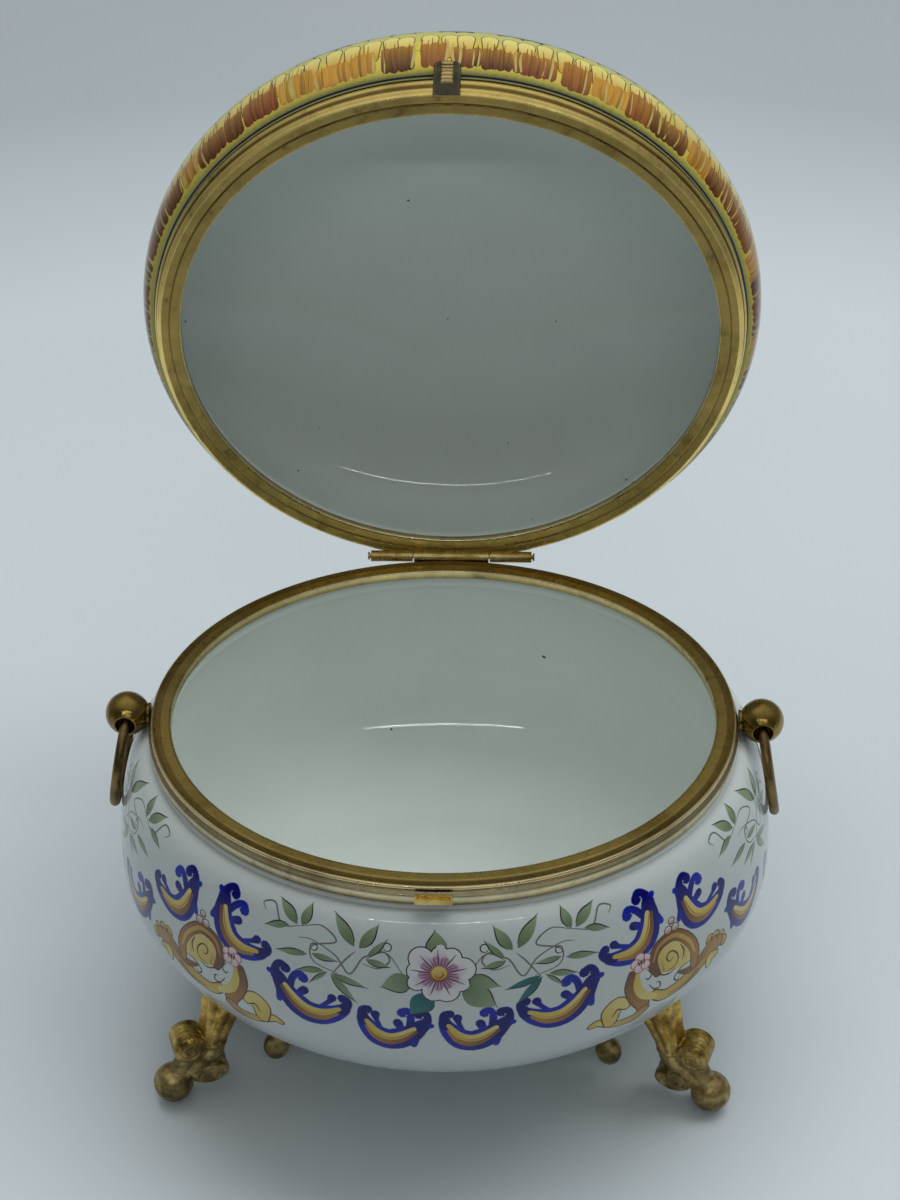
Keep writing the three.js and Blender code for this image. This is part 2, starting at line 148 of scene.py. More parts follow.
# The photo's viewpoint, from the middle of the bowl's rim
camera_place = np.array([15.8, -362.2, 293.4])
camera_pitch = 36.163 * DEGREE
camera_yaw = -2.223 * DEGREE
camera_roll = 0.712 * DEGREE
camera_lens = 66


# Colours of the paints, as they look in daylight
def paint(red, green, blue):
    """A colour in linear light from the 0 to 255 values it is seen with."""
    values = np.array([red, green, blue]) / 255
    return np.where(values < 0.04045, values / 12.92, ((values + 0.055) / 1.055) ** 2.4)


# Painted light: the outside porcelain white is painted darker as painted shade, and the inside white lighter
# as painted light; both are one glaze.
shaded_outer_white = paint(197, 204, 203)
lit_inner_white = paint(224, 231, 226)
cobalt = paint(2, 4, 104)
wash_blue = paint(8, 34, 160)
pale_blue = paint(140, 152, 196)
straw = paint(210, 194, 122)
amber = paint(166, 122, 60)
umber = paint(112, 72, 46)
ochre = paint(198, 172, 80)
sepia = paint(84, 60, 42)
stem_grey = paint(116, 112, 104)
leaf_green = paint(140, 158, 126)
deep_green = paint(98, 118, 88)
teal = paint(52, 118, 120)
petal_white = paint(212, 212, 214)
petal_pink = paint(178, 138, 166)
rose = paint(142, 84, 112)
plum = paint(92, 58, 82)
orange = paint(196, 134, 44)
ink = paint(58, 50, 56)
lid_yellow = paint(204, 182, 72)
lid_lemon = paint(190, 188, 110)
lid_orange = paint(190, 142, 54)
lid_green = paint(52, 96, 92)
flute_light = paint(222, 208, 120)
# Painted shade: dark brown on the rings' faces tucked against the porcelain, where shade falls between the
# parts.
channel_shade_brown = paint(56, 44, 28)


# Placing in the frame
def on_box(points):
    """Points given from the middle of the bowl's rim, put in the row frame in metres."""
    return (np.asarray(points, float) + rim_centre) * MM


def on_lid(points):
    """Points of the shut lid, up from its land, turned back with the lid as it stands open."""
    x, y, z = np.asarray(points, float).T
    y = y - hinge_y
    z = z + gap - hinge_z
    turned_y = y * math.cos(open_angle) + z * math.sin(open_angle)
    turned_z = z * math.cos(open_angle) - y * math.sin(open_angle)
    return on_box(np.stack([x, turned_y + hinge_y, turned_z + hinge_z], axis=1))


def oval(radius, turn):
    """A point of the oval with this half length, turned from the front centre to the right."""
    shift = oval_shift * np.minimum(1, radius / base_half_length)
    return np.stack([radius * np.sin(turn), -(radius - shift) * np.cos(turn)], axis=-1)


def leaning(angle):
    """The matrix that leans points in the x and z plane."""
    cosine, sine = math.cos(angle), math.sin(angle)
    return np.array([[cosine, 0, sine], [0, 1, 0], [-sine, 0, cosine]])


# Meshes
def unit(vectors):
    """The vectors at a length of one."""
    return vectors / np.maximum(np.linalg.norm(vectors, axis=-1, keepdims=True), 1e-20)


def face_weighted_normals(points, faces):
    """A normal for each point, led by its largest faces."""
    normals = np.zeros_like(points)
    for corners in {len(face) for face in faces}:
        rows = np.array([face for face in faces if len(face) == corners])
        across = points[rows[:, 2 % corners]] - points[rows[:, 0]]
        along = points[rows[:, -1]] - points[rows[:, 1]]
        sized = np.cross(across, along)
        for k in range(corners):
            np.add.at(normals, rows[:, k], sized)
    return unit(normals)


def new_object(name, points, faces):
    """An object in the scene with a mesh of these points and faces."""
    mesh = bpy.data.meshes.new(name)
    mesh.from_pydata(points.tolist(), [], [tuple(map(int, face)) for face in faces])
    made = bpy.data.objects.new(name, mesh)
    bpy.context.scene.collection.objects.link(made)
    return made


def add_piece(name, points, faces, material, body, nodes=(), normals=None):
    """A smooth mesh piece that rides on a body and stands for the named solids."""
    piece = new_object(name, points, faces)
    piece.data.shade_smooth()
    if normals is None:
        normals = face_weighted_normals(points, faces)
    piece.data.normals_split_custom_set_from_vertices(normals.tolist())
    piece.data.materials.append(material)
    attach(piece, body)
    if nodes:
        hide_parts(*nodes)
    return piece


def add_colours(piece, layer_name, domain, colours):
    """Writes a colour for each point or face corner of the piece."""
    layer = piece.data.color_attributes.new(layer_name, "FLOAT_COLOR", domain)
    shown = np.ones((len(colours), 4), np.float32)
    shown[:, :3] = colours
    layer.data.foreach_set("color", shown.ravel())


def grid_faces(rows, columns, rows_close=True, columns_close=True):
    """Quads between the neighbours of a grid of points that runs row by row."""
    faces = []
    for i in range(rows if rows_close else rows - 1):
        near, far = i * columns, (i + 1) % rows * columns
        for k in range(columns if columns_close else columns - 1):
            after = (k + 1) % columns
            faces.append((near + k, near + after, far + after, far + k))
    return faces


def flipped(faces):
    """The faces seen from their other side, each from its own first corner."""
    return [(face[0], *face[:0:-1]) for face in faces]


def backwards(faces):
    """The faces seen from their other side, each from its own last corner."""
    return [face[::-1] for face in faces]


def merged(parts):
    """The points and faces of several forms as one."""
    points, faces, start = [], [], 0
    for form, corners in parts:
        points.append(form)
        faces += [tuple(k + start for k in corner) for corner in corners]
        start += len(form)
    return np.vstack(points), faces


# Outlines of the turned pieces
def quarter(start, end, fullness, steps, starts_upright):
    """A quarter of a rounded square between two outline points, without its start."""
    turn = np.linspace(0, math.pi / 2, steps + 1)[1:]
    fast = np.sin(turn) ** (2 / fullness)
    slow = 1 - np.cos(turn) ** (2 / fullness)
    across, along = (slow, fast) if starts_upright else (fast, slow)
    start, end = np.array(start), np.array(end)
    return [tuple(start + (end - start) * share) for share in zip(across, along)]


def rounded(outline, radius, closed=True):
    """The outline with each corner turned into a small round."""
    count = len(outline)
    points = []
    for i, corner in enumerate(outline):
        if not closed and i in (0, count - 1):
            points.append(tuple(corner))
            continue
        corner = np.array(corner, float)
        before = np.array(outline[i - 1]) - corner
        after = np.array(outline[(i + 1) % count]) - corner
        reach = min(radius, 0.4 * np.linalg.norm(before), 0.4 * np.linalg.norm(after))
        first = corner + before / np.linalg.norm(before) * reach
        last = corner + after / np.linalg.norm(after) * reach
        for t in np.linspace(0, 1, corner_steps):
            points.append(tuple((1 - t) ** 2 * first + 2 * t * (1 - t) * corner + t ** 2 * last))
    return points


def oval_turn(outline, steps=turn_steps, closed=True):
    """Points and faces of an outline turned round the oval."""
    rows = np.array(outline)
    turns = np.linspace(0, 2 * math.pi, steps, endpoint=False)
    radius, turn = np.meshgrid(rows[:, 0], turns)
    height = np.broadcast_to(rows[:, 1], radius.shape)
    points = np.concatenate([oval(radius, turn), height[..., None]], axis=2).reshape(-1, 3)
    return points, grid_faces(steps, len(rows), columns_close=closed)


def turned_about_x(outline, steps=48, closed=False):
    """Points and faces of an outline of [along x, radius] turned about the x axis."""
    turns = np.linspace(0, 2 * math.pi, steps, endpoint=False)
    points = [(x, radius * math.cos(t), radius * math.sin(t)) for t in turns for x, radius in outline]
    return np.array(points), grid_faces(steps, len(outline), columns_close=closed)


def turned_about_z(outline, steps=48, ribs=0, depth=0.0):
    """Points and faces of an outline of [radius, height], with ribs raised round it."""
    points = []
    for t in np.linspace(0, 2 * math.pi, steps, endpoint=False):
        ripple = 1 + depth * (2 * abs(math.cos(ribs * t / 2)) - 1)
        points += [(r * ripple * math.cos(t), r * ripple * math.sin(t), z) for r, z in outline]
    return np.array(points), flipped(grid_faces(steps, len(outline), columns_close=False))


# Painting
def curve(points, count):
    """A smooth line through the points."""
    points = np.array(points, float)
    if len(points) == 2:
        return points[0] + (points[1] - points[0]) * np.linspace(0, 1, count)[:, None]
    ends = np.vstack([2 * points[0] - points[1], points, 2 * points[-1] - points[-2]])
    where = np.linspace(0, len(points) - 1 - 1e-9, count)
    k = where.astype(int)
    t = (where - k)[:, None]
    a, b, c, d = ends[k], ends[k + 1], ends[k + 2], ends[k + 3]
    return b + 0.5 * t * (c - a + t * (2 * a - 5 * b + 4 * c - d + t * (3 * (b - c) + d - a)))


def moved(shapes, scale, shift=(0, 0)):
    """The shapes with every point multiplied and then shifted."""
    return [(shape * scale + shift, tone, other, start * scale + shift, end * scale + shift)
            for shape, tone, other, start, end in shapes]


def stroke(points, widths, colour, other=None, count=12):
    """A brush stroke with round ends; its width runs through the given values."""
    line = curve(points, count)
    width = np.interp(np.linspace(0, 1, count), np.linspace(0, 1, len(widths)), widths)
    along = unit(np.gradient(line, axis=0))
    across = np.stack([-along[:, 1], along[:, 0]], axis=1)
    half = across * width[:, None] / 2
    turn = np.array([-1, 0, 1])[:, None] * math.pi / 4
    end = line[-1] + width[-1] / 2 * (np.cos(turn) * along[-1] - np.sin(turn) * across[-1])
    start = line[0] + width[0] / 2 * (-np.cos(turn) * along[0] + np.sin(turn) * across[0])
    shape = np.vstack([line + half, end, (line - half)[::-1], start])
    return [(shape, colour, colour if other is None else other, line[0], line[-1])]


def line_stroke(points, colour=ink, width=0.26, count=12):
    return stroke(points, [width * 0.5, width, width, width * 0.4], colour, count=count)


def blob(x, y, radius, colour, other=None, count=12):
    turn = np.linspace(0, 2 * math.pi, count, endpoint=False)
    shape = np.stack([x + radius * np.cos(turn), y + radius * np.sin(turn)], axis=1)
    low, high = np.array([x, y - radius]), np.array([x, y + radius])
    return [(shape, colour, colour if other is None else other, low, high)]


def small_ring(x, y, radius):
    turn = np.linspace(0, 2 * math.pi * 0.96, 11)
    return line_stroke([(x + radius * math.cos(t), y + radius * math.sin(t)) for t in turn], ink, 0.26, 16)


def leaf(base, tip, width, light=leaf_green, dark=deep_green):
    """A pointed leaf in two tones with a fine dark line along one edge."""
    base, tip = np.array(base, float), np.array(tip, float)
    along = tip - base
    across = np.array([-along[1], along[0]]) / np.linalg.norm(along)
    share = np.linspace(0, 1, 9)[:, None]
    bulge = np.sin(math.pi * share ** 0.85) * width / 2
    middle = base + along * share
    upper, lower = middle + across * bulge, middle - across * bulge * 0.85
    shapes = [(np.vstack([lower, upper[::-1][1:-1]]), light, dark, tip, base)]
    shadow = (middle + across * bulge * 0.1)[::-1][1:-1]
    shapes.append((np.vstack([lower, shadow]), dark, light, base, tip))
    return shapes + line_stroke([*upper[1::2], tip + along * 0.06], ink, 0.3, 9)


def crescent(length, mirrored=False):
    """A blue scroll with a straw and brown band and curled crockets on its inner side."""
    size = np.array([length / 16.6, 1.0])
    body = [(-7.6, 0.4), (-4.8, -1.9), (-1.6, -3.4), (1.2, -3.9), (4.0, -3.0), (6.4, -1.0), (7.8, 1.0)]
    parts = [
        (body, [3.2, 4.6, 5.6, 5.6, 5.2, 4.0, 2.8], cobalt, wash_blue),
        ([(-7.9, 0.2), (-8.9, 1.8), (-8.5, 3.5), (-6.9, 3.3)], [2.8, 1.9, 1.7, 2.3], cobalt, cobalt),
        ([(-4.5, 0.0), (-4.7, 2.4), (-3.8, 3.9), (-2.6, 3.5)], [1.6, 1.5, 1.8, 2.3], cobalt, wash_blue),
        ([(-2.2, -0.8), (-1.3, 0.9)], [1.5, 1.9], wash_blue, cobalt),
        ([(3.3, -0.8), (4.3, 1.2), (4.6, 2.5)], [0.9, 1.0, 1.9], wash_blue, cobalt),
        ([(7.8, 0.6), (7.9, 3.0), (6.6, 3.5)], [2.4, 2.0, 2.0], cobalt, cobalt),
        ([(-6.0, -2.6), (-5.4, -5.0)], [1.9, 1.3], cobalt, wash_blue),
        ([(-8.4, 0.6), (-10.0, 0.4)], [1.6, 1.2], cobalt, wash_blue),
    ]
    shapes = []
    for line, widths, *_ in parts:
        shapes += stroke(line * size, [width + 0.24 for width in widths], pale_blue, pale_blue, 18)
    for line, widths, tone, other in parts:
        shapes += stroke(line * size, widths, tone, other, 18)
    light = [(-3.6, -0.9), (-1.0, -1.7), (2.2, -1.9), (5.0, 0.0)]
    brown = [(-6.0, -1.5), (-2.1, -3.8), (1.4, -4.5), (4.7, -3.4), (7.0, -0.9)]
    gold = [(-5.5, -0.6), (-2.2, -2.4), (1.0, -3.1), (4.2, -2.1), (6.9, 0.5)]
    shapes += stroke(light * size, [0.3, 0.7, 0.7, 0.3], wash_blue, wash_blue, 14)
    shapes += stroke(brown * size, [0.9, 1.5, 1.7, 1.4, 0.7], umber, amber, 18)
    shapes += stroke(gold * size, [1.1, 1.7, 1.8, 1.7, 1.0], straw, ochre, 18)
    shapes += stroke(gold * size + [0, -0.5], [0.2, 0.5, 0.6, 0.5, 0.2], amber, ochre, 16)
    return moved(shapes, [-1, 1]) if mirrored else shapes


def flower_leaves(size):
    """The green and blue-green leaves round the blossom."""
    shapes = []
    for base, tip, width in (((0, 3.4), (-0.6, 9.0), 4.6), ((-5.0, -1.2), (-11.2, -3.6), 5.0),
                             ((4.4, -3.4), (10.8, -8.4), 5.6), ((5.0, -1.0), (11.6, -3.6), 3.6)):
        shapes += leaf(np.array(base) * size, np.array(tip) * size, width * size)
    base, tip = np.array((-1.6, -4.4)) * size, np.array((-5.6, -9.8)) * size
    return shapes + leaf(base, tip, 5.2 * size, teal, paint(28, 84, 92))


def squashed_ray(turn):
    """A direction in the slightly squashed round of the blossom."""
    return np.array([math.cos(turn), math.sin(turn) * 0.95])


def petal_outlines(turns, reach):
    """Scalloped white petals over a dark edge."""
    shapes = []
    for grow, tone in ((0.26, ink), (0, petal_white)):
        for i, turn in enumerate(turns):
            out = reach * (0.68 + 0.07 * math.sin(2.6 * i + 0.6))
            radius = reach * (0.32 + 0.06 * math.cos(1.9 * i)) + grow
            shapes += blob(out * math.cos(turn), out * math.sin(turn) * 0.95, radius, tone, count=16)
    return shapes + blob(0, 0, reach * 0.72, petal_white, count=20)


def flower(petals=9, reach=6.6):
    """A pink hearted blossom with scalloped petals, a dark outline and fine veins."""
    size = reach / 6.6
    turns = [2 * math.pi * (i + 0.3 + 0.14 * math.sin(2.3 * i)) / petals for i in range(petals)]
    shapes = flower_leaves(size) + petal_outlines(turns, reach)
    for i, turn in enumerate(turns):
        ray = squashed_ray(turn)
        far = reach * (0.62 if i % 3 == 1 else 0.86)
        shapes += stroke([ray * 0.6, ray * far * 0.6, ray * far], [1.6, 3.4, 2.0], petal_pink, petal_white)
    for turn in turns:
        ray = squashed_ray(turn + 0.2)
        shapes += stroke([ray * 0.6, ray * reach * 0.5], [1.6, 1.7], rose, petal_pink, 6)
    for i in range(3 * petals):
        ray = squashed_ray(2 * math.pi * (i / 3 + 0.3) / petals)
        far = reach * (0.84 if i % 3 == 0 else 0.6)
        shapes += line_stroke([ray * 1.2, ray * far], plum, 0.2 if i % 3 else 0.28, 4)
    shapes += blob(0, 0, 1.9 * size, umber, amber, 14)
    shapes += blob(0.05, 0.15, 1.55 * size, orange, straw, 14)
    return shapes + line_stroke([(-0.7, -0.5), (0, -0.9), (0.8, -0.4), (0.7, 0.4)], umber, 0.3, 8)


def sprig(shift, cool=False):
    """A thin curling stem with slender leaves and small rings, to the right of the flower."""
    stems = [
        [(6.0, -1.8), (9.5, 3.0), (13.0, 2.2), (14.6, 1.2), (17.0, -2.6), (20.0, 1.0), (25.0, 3.2),
         (28.0, 3.0)],
        [(13.6, 1.4), (10.6, 3.4), (9.0, 1.6), (11.2, -0.4), (14.4, 0.2)],
        [(19.4, -3.0), (24.4, -1.4), (25.0, 2.0), (20.0, 4.0), (23.4, 6.6), (28.0, 5.4)],
        [(28.0, 5.4), (32.0, 4.6), (34.4, 8.4), (37.0, 7.8), (36.2, 6.4)],
        [(20.4, -3.2), (17.8, 0.6), (16.0, 2.6)],
    ]
    leaves = [
        ((15.2, 3.4), (11.8, 8.6), 2.6, False), ((16.2, 3.6), (21.0, 9.6), 2.7, False),
        ((27.6, 5.6), (26.4, 10.4), 2.4, False), ((28.6, 5.6), (33.4, 9.6), 2.5, False),
        ((13.8, 1.2), (9.0, 0.2), 1.6, False), ((20.6, -3.2), (13.6, -5.2), 1.7, cool),
        ((20.8, -3.4), (15.6, -9.0), 1.9, cool), ((21.4, -3.0), (25.0, -6.6), 1.0, False),
        ((25.0, 0.2), (19.6, -0.2), 1.5, False), ((25.8, -0.2), (32.4, -1.2), 1.7, False),
        ((30.4, 5.0), (35.6, 3.4), 1.7, False), ((13.6, 1.8), (9.8, 5.8), 1.5, False),
        ((22.2, -3.0), (27.8, -4.4), 1.6, False),
    ]
    shapes = []
    for line in stems:
        shapes += line_stroke(line, stem_grey, 0.38, 6 * len(line))
    for base, tip, width, is_cool in leaves:
        tones = (teal, paint(34, 88, 90)) if is_cool else (leaf_green, deep_green)
        shapes += leaf(base, tip, width, *tones)
    shapes += small_ring(9.6, 4.4, 0.85) + small_ring(24.6, 1.8, 0.8)
    return moved(shapes, [1, 1], [shift, 0])


def lobe(points, widths, tone, other):
    """A leaf lobe with a brown edge."""
    edge = stroke(points, [width + 0.7 for width in widths], sepia, umber, 16)
    return edge + stroke(points, widths, tone, other, 16)


def wash(points, widths, tone, other):
    return stroke(points, widths, tone, other, 14)


def pen(*points):
    return line_stroke(points, sepia, 0.4, 6 * len(points))


def scroll_tail():
    """The leaf scroll's long tail, with a row of beads over its end."""
    shapes = []
    for x, y in ((11.0, -4.6), (13.0, -4.9), (15.0, -6.2), (15.9, -8.2)):
        shapes += blob(x, y, 1.45, sepia)
        shapes += blob(x, y, 1.2, amber, ochre)
    tail = [(-4.8, -9.6), (-2.2, -11.4), (2.2, -11.2), (5.9, -9.9), (8.8, -8.3), (12.0, -6.9), (14.2, -7.2)]
    shapes += lobe(tail, [2.0, 2.6, 3.0, 3.4, 3.6, 4.0, 2.8], ochre, amber)
    shapes += wash([(1.8, -7.4), (4.8, -8.6), (8.6, -7.6), (11.6, -5.9)], [0.9, 2.4, 2.2, 0.9], umber, amber)
    shapes += wash([(-1.0, -12.0), (3.4, -12.0), (7.4, -10.2)], [0.5, 1.1, 0.5], amber, umber)
    shapes += lobe([(10.8, -11.4), (11.4, -9.8), (13.4, -9.9)], [1.4, 2.4, 1.2], straw, ochre)
    return shapes + pen((11.4, -4.2), (11.9, -5.6)) + pen((13.4, -5.0), (13.6, -6.4))


def scroll_leaves():
    """The lobes that hang on the other side and curl at their tips."""
    back = [(-10.2, -1.4), (-10.3, -4.6), (-9.0, -8.0), (-7.6, -10.6), (-7.4, -12.8)]
    inner = [(-8.9, -2.0), (-8.9, -5.0), (-7.6, -8.0), (-4.8, -10.2)]
    low = [(-7.0, -12.6), (-9.2, -14.2), (-12.0, -14.2), (-14.8, -13.4)]
    curl = [(-14.9, -12.6), (-14.8, -9.6), (-13.1, -8.0), (-11.5, -9.2)]
    shapes = lobe(back, [1.2, 2.8, 3.4, 3.0, 2.0], umber, amber)
    shapes += wash(inner, [0.9, 1.9, 2.2, 1.6], ochre, straw)
    shapes += lobe(low, [2.0, 2.2, 2.0, 1.2], amber, ochre)
    shapes += lobe([(-15.8, -12.6), (-17.6, -11.4), (-19.2, -11.8)], [1.2, 1.6, 1.0], straw, ochre)
    shapes += lobe(curl, [2.6, 4.2, 3.6, 1.6], ochre, straw)
    return shapes + pen((-14.6, -11.0), (-13.4, -9.4), (-12.0, -10.0))


def volute():
    """The big brown ring with a yellow spiral inside it."""
    ring = [(-3.9, -4.2), (-5.0, -0.8), (-3.4, 2.4), (0.8, 3.0), (4.6, -0.6), (6.2, -4.6), (5.9, -7.9)]
    inside = np.array([(-3.0, -4.8), (-3.9, -1.0), (-2.6, 1.3), (0.6, 1.6), (3.5, -1.4), (4.9, -4.8),
                       (3.4, -6.2), (0.5, -5.9)])
    shapes = lobe(ring, [1.6, 2.2, 2.5, 2.5, 2.5, 2.3, 1.6], umber, amber)
    shapes += wash(ring[1:-1], [0.4, 0.9, 1.0, 0.9, 0.4], amber, ochre)
    shapes.append((curve([*inside, inside[0]], 28)[:-1], ochre, straw, inside[0], inside[4]))
    shapes += wash([(1.6, 0.4), (3.2, -1.8), (3.4, -4.6)], [0.4, 0.9, 0.5], straw, ochre)
    shapes += wash([(-2.4, -4.6), (-2.8, -1.4), (-1.6, 0.6)], [0.4, 0.9, 0.4], amber, straw)
    shapes += pen((-5.2, -2.3), (-3.3, -5.0), (-1.2, -6.0), (0.6, -5.6))
    shapes += pen((-1.6, -5.2), (0.8, -4.6), (1.4, -2.6), (0.2, -0.7), (-1.1, -0.6), (-1.6, -1.8),
                  (-0.8, -2.9), (0.1, -2.3))
    shapes += pen((2.2, -0.2), (3.0, -2.2), (2.6, -4.4))
    return shapes + pen((4.9, -6.1), (2.6, -6.3), (1.0, -7.3), (0.4, -8.4), (1.3, -9.3), (1.8, -8.4))


def scroll_blossom():
    """Three beads over the volute and a small pink blossom beside it."""
    shapes = []
    for x, y, radius in ((-0.8, 5.0, 1.1), (1.1, 4.9, 1.1), (0.3, 6.8, 0.95)):
        shapes += blob(x, y, radius, sepia)
        shapes += blob(x, y, radius - 0.24, amber, petal_white)
    for k in range(5):
        turn = 2 * math.pi * k / 5 + 0.5
        x, y = -7.9 + 1.35 * math.cos(turn), 0.5 + 1.35 * math.sin(turn)
        shapes += blob(x, y, 1.25, paint(150, 104, 108))
        shapes += blob(x, y, 1.02, paint(214, 176, 178), paint(226, 206, 206))
    for k in range(3):
        shapes += pen((-8.7 + 0.8 * k, 1.2), (-8.3 + 0.5 * k, -0.1))
    shapes += pen((-6.5, -2.0), (-5.5, -3.6), (-6.3, -4.6), (-7.0, -4.0))
    return shapes + pen((-6.1, -6.2), (-4.9, -8.0), (-3.4, -8.2), (-3.5, -6.8), (-4.4, -6.5))


def leaf_scroll():
    """A yellow and brown leaf scroll with a big volute, a small blossom and a curled tail."""
    return scroll_tail() + scroll_leaves() + volute() + scroll_blossom()


def put(shapes, surface, turn, along, tilt=0.0, flip=False):
    """Shapes in millimetres, laid at a place on a wall given in degrees and millimetres down."""
    near = surface(np.array([[turn - 0.5, along], [turn + 0.5, along]]))
    degree_length = np.linalg.norm(near[1] - near[0])
    cosine, sine = math.cos(tilt * DEGREE), math.sin(tilt * DEGREE)
    side = -1 if flip else 1

    def lay(points):
        x, y = points[..., 0] * side, points[..., 1]
        across, up = x * cosine - y * sine, x * sine + y * cosine
        return np.stack([turn + across / degree_length, along - up], axis=-1)

    return [(lay(shape), tone, other, lay(start), lay(end)) for shape, tone, other, start, end in shapes]


def signed_area(shape):
    x, y = shape.T
    return 0.5 * np.sum(x * np.roll(y, -1) - np.roll(x, -1) * y)


def cut_sheet(border, inner, shapes, stretch):
    """Cuts a flat sheet along every shape; returns its points, triangles and the shape on top."""
    coordinates = [*border, *inner]
    faces = [list(range(len(border)))]
    for shape, *_ in shapes:
        ordered = shape * stretch
        ordered = ordered if signed_area(ordered) > 0 else ordered[::-1]
        faces.append(list(range(len(coordinates), len(coordinates) + len(ordered))))
        coordinates += list(ordered)
    vectors = [Vector(point) for point in np.array(coordinates)]
    points, _, triangles, _, _, owners = delaunay_2d_cdt(vectors, [], faces, 0, 1e-4)
    kept = [(triangle, max(owner)) for triangle, owner in zip(triangles, owners) if owner and min(owner) == 0]
    points = np.array([tuple(point) for point in points])
    return points, np.array([triangle for triangle, _ in kept]), np.array([top for _, top in kept])


def painted(border, inner, shapes, ground, stretch):
    """A flat sheet cut along every painted edge; returns its points, triangles and colours."""
    points, triangles, top = cut_sheet(border, inner, shapes, stretch)
    corners = points[triangles]
    colours = ground(corners.reshape(-1, 2) / stretch).reshape(-1, 3, 3)
    nothing = np.zeros(3)
    starts = np.array([[0, 0]] + [start * stretch for *_, start, _ in shapes])[top][:, None]
    ends = np.array([[1, 0]] + [end * stretch for *_, end in shapes])[top][:, None]
    tones = np.array([nothing] + [tone for _, tone, *_ in shapes])[top][:, None]
    others = np.array([nothing] + [other for _, _, other, *_ in shapes])[top][:, None]
    run = ends - starts
    share = ((corners - starts) * run).sum(-1) / np.maximum((run ** 2).sum(-1), 1e-9)
    blend = np.clip(share, 0, 1)[..., None]
    mixed = tones * (1 - blend) + others * blend
    colours = np.where((top > 0)[:, None, None], mixed, colours)
    return points / stretch, triangles, colours


def wall_sheet(high, stretch):
    """The border and inner points of a wall unrolled from the back."""
    columns, rows = round(360 * stretch[0] / sheet_step), max(2, round(high * stretch[1] / sheet_step))
    across = np.linspace(-180, 180, columns + 1) * stretch[0]
    down = np.linspace(0, high, rows + 1)
    lower = [(x, down[0]) for x in across[:-1]]
    right = [(across[-1], y) for y in down[:-1]]
    upper = [(x, down[-1]) for x in across[:0:-1]]
    left = [(across[0], y) for y in down[:0:-1]]
    inner = []
    for row, y in enumerate(down[1:-1]):
        shift = 0.5 * sheet_step if row % 2 else 0
        inner += [(x + shift, y) for x in across[1:-1] if x + shift < across[-1] - 0.4 * sheet_step]
    return lower + right + upper + left, inner


def surface_normals(surface, points):
    """Exact normals of a curved surface at its sheet points."""
    step = 0.02
    across = surface(points + [step, 0]) - surface(points - [step, 0])
    down = surface(points + [0, step]) - surface(points - [0, step])
    return unit(np.cross(across, down))


def bent_sheet(surface, sheet, faces, tones, place):
    """A painted sheet on its surface, with its faces and colours turned outwards."""
    points = place(surface(sheet))
    normals = unit(place(surface(sheet) + surface_normals(surface, sheet)) - points)
    corners = points[faces]
    facing = np.cross(corners[:, 1] - corners[:, 0], corners[:, 2] - corners[:, 0])
    turned = np.einsum("ij,ij->i", facing, normals[faces[:, 0]]) < 0
    faces = np.where(turned[:, None], faces[:, ::-1], faces)
    tones = np.where(turned[:, None, None], tones[:, ::-1], tones)
    return points, faces, tones, normals


def add_painted(name, parts, place, material, body, nodes):
    """One piece from painted sheets, each bent onto its surface."""
    bent = [bent_sheet(*part, place) for part in parts]
    starts = np.cumsum([0] + [len(points) for points, *_ in bent])
    points = np.vstack([points for points, *_ in bent])
    faces = np.vstack([faces + start for (_, faces, *_), start in zip(bent, starts)])
    normals = np.vstack([normals for *_, normals in bent])
    piece = add_piece(name, points, faces, material, body, nodes, normals)
    tones = np.vstack([tones for _, _, tones, _ in bent])
    add_colours(piece, "paint", "CORNER", tones.reshape(-1, 3))


# Materials
def new_material(name):
    material = bpy.data.materials.new(name)
    material.use_nodes = True
    tree = material.node_tree
    return material, tree, tree.nodes["Principled BSDF"]


def set_inputs(node, **values):
    """Sets a node's inputs, named with an underscore for each space."""
    for socket, value in values.items():
        node.inputs[socket.replace("_", " ")].default_value = value


def noise(tree, scale, detail=4.0, roughness=0.5):
    place = tree.nodes.new("ShaderNodeTexCoord")
    texture = tree.nodes.new("ShaderNodeTexNoise")
    set_inputs(texture, Scale=scale, Detail=detail, Roughness=roughness)
    tree.links.new(place.outputs["Object"], texture.inputs["Vector"])
    return texture.outputs["Fac"]


def ramp(tree, source, stops):
    node = tree.nodes.new("ShaderNodeValToRGB")
    elements = node.color_ramp.elements
    for element, (position, colour) in zip(elements, (stops[0], stops[-1])):
        element.position = position
        element.color = (*colour, 1)
    for position, colour in stops[1:-1]:
        elements.new(position).color = (*colour, 1)
    tree.links.new(source, node.inputs["Fac"])
    return node.outputs["Color"]


def spread(tree, source, low, high, start=0.35, end=0.65):
    node = tree.nodes.new("ShaderNodeMapRange")
    set_inputs(node, From_Min=start, From_Max=end, To_Min=low, To_Max=high)
    tree.links.new(source, node.inputs["Value"])
    return node.outputs["Result"]


def mix(tree, factor, first, second, kind="MIX"):
    node = tree.nodes.new("ShaderNodeMix")
    node.data_type = "RGBA"
    node.blend_type = kind
    for value, socket in ((factor, node.inputs["Factor"]), (first, node.inputs[6]), (second, node.inputs[7])):
        if hasattr(value, "is_output"):
            tree.links.new(value, socket)
        elif isinstance(value, (int, float)):
            socket.default_value = value
        else:
            socket.default_value = (*value, 1)
    return node.outputs[2]


def piece_colour(tree, layer_name):
    layer = tree.nodes.new("ShaderNodeVertexColor")
    layer.layer_name = layer_name
    return layer.outputs["Color"]


def glaze_painting(tree):
    """The painting of the piece, with a slight unevenness of the brush."""
    shade = tree.nodes.new("ShaderNodeVectorMath")
    shade.operation = "SCALE"
    tree.links.new(piece_colour(tree, "paint"), shade.inputs[0])
    tree.links.new(spread(tree, noise(tree, 500, 3), 0.985, 1.01), shade.inputs["Scale"])
    return shade.outputs["Vector"]


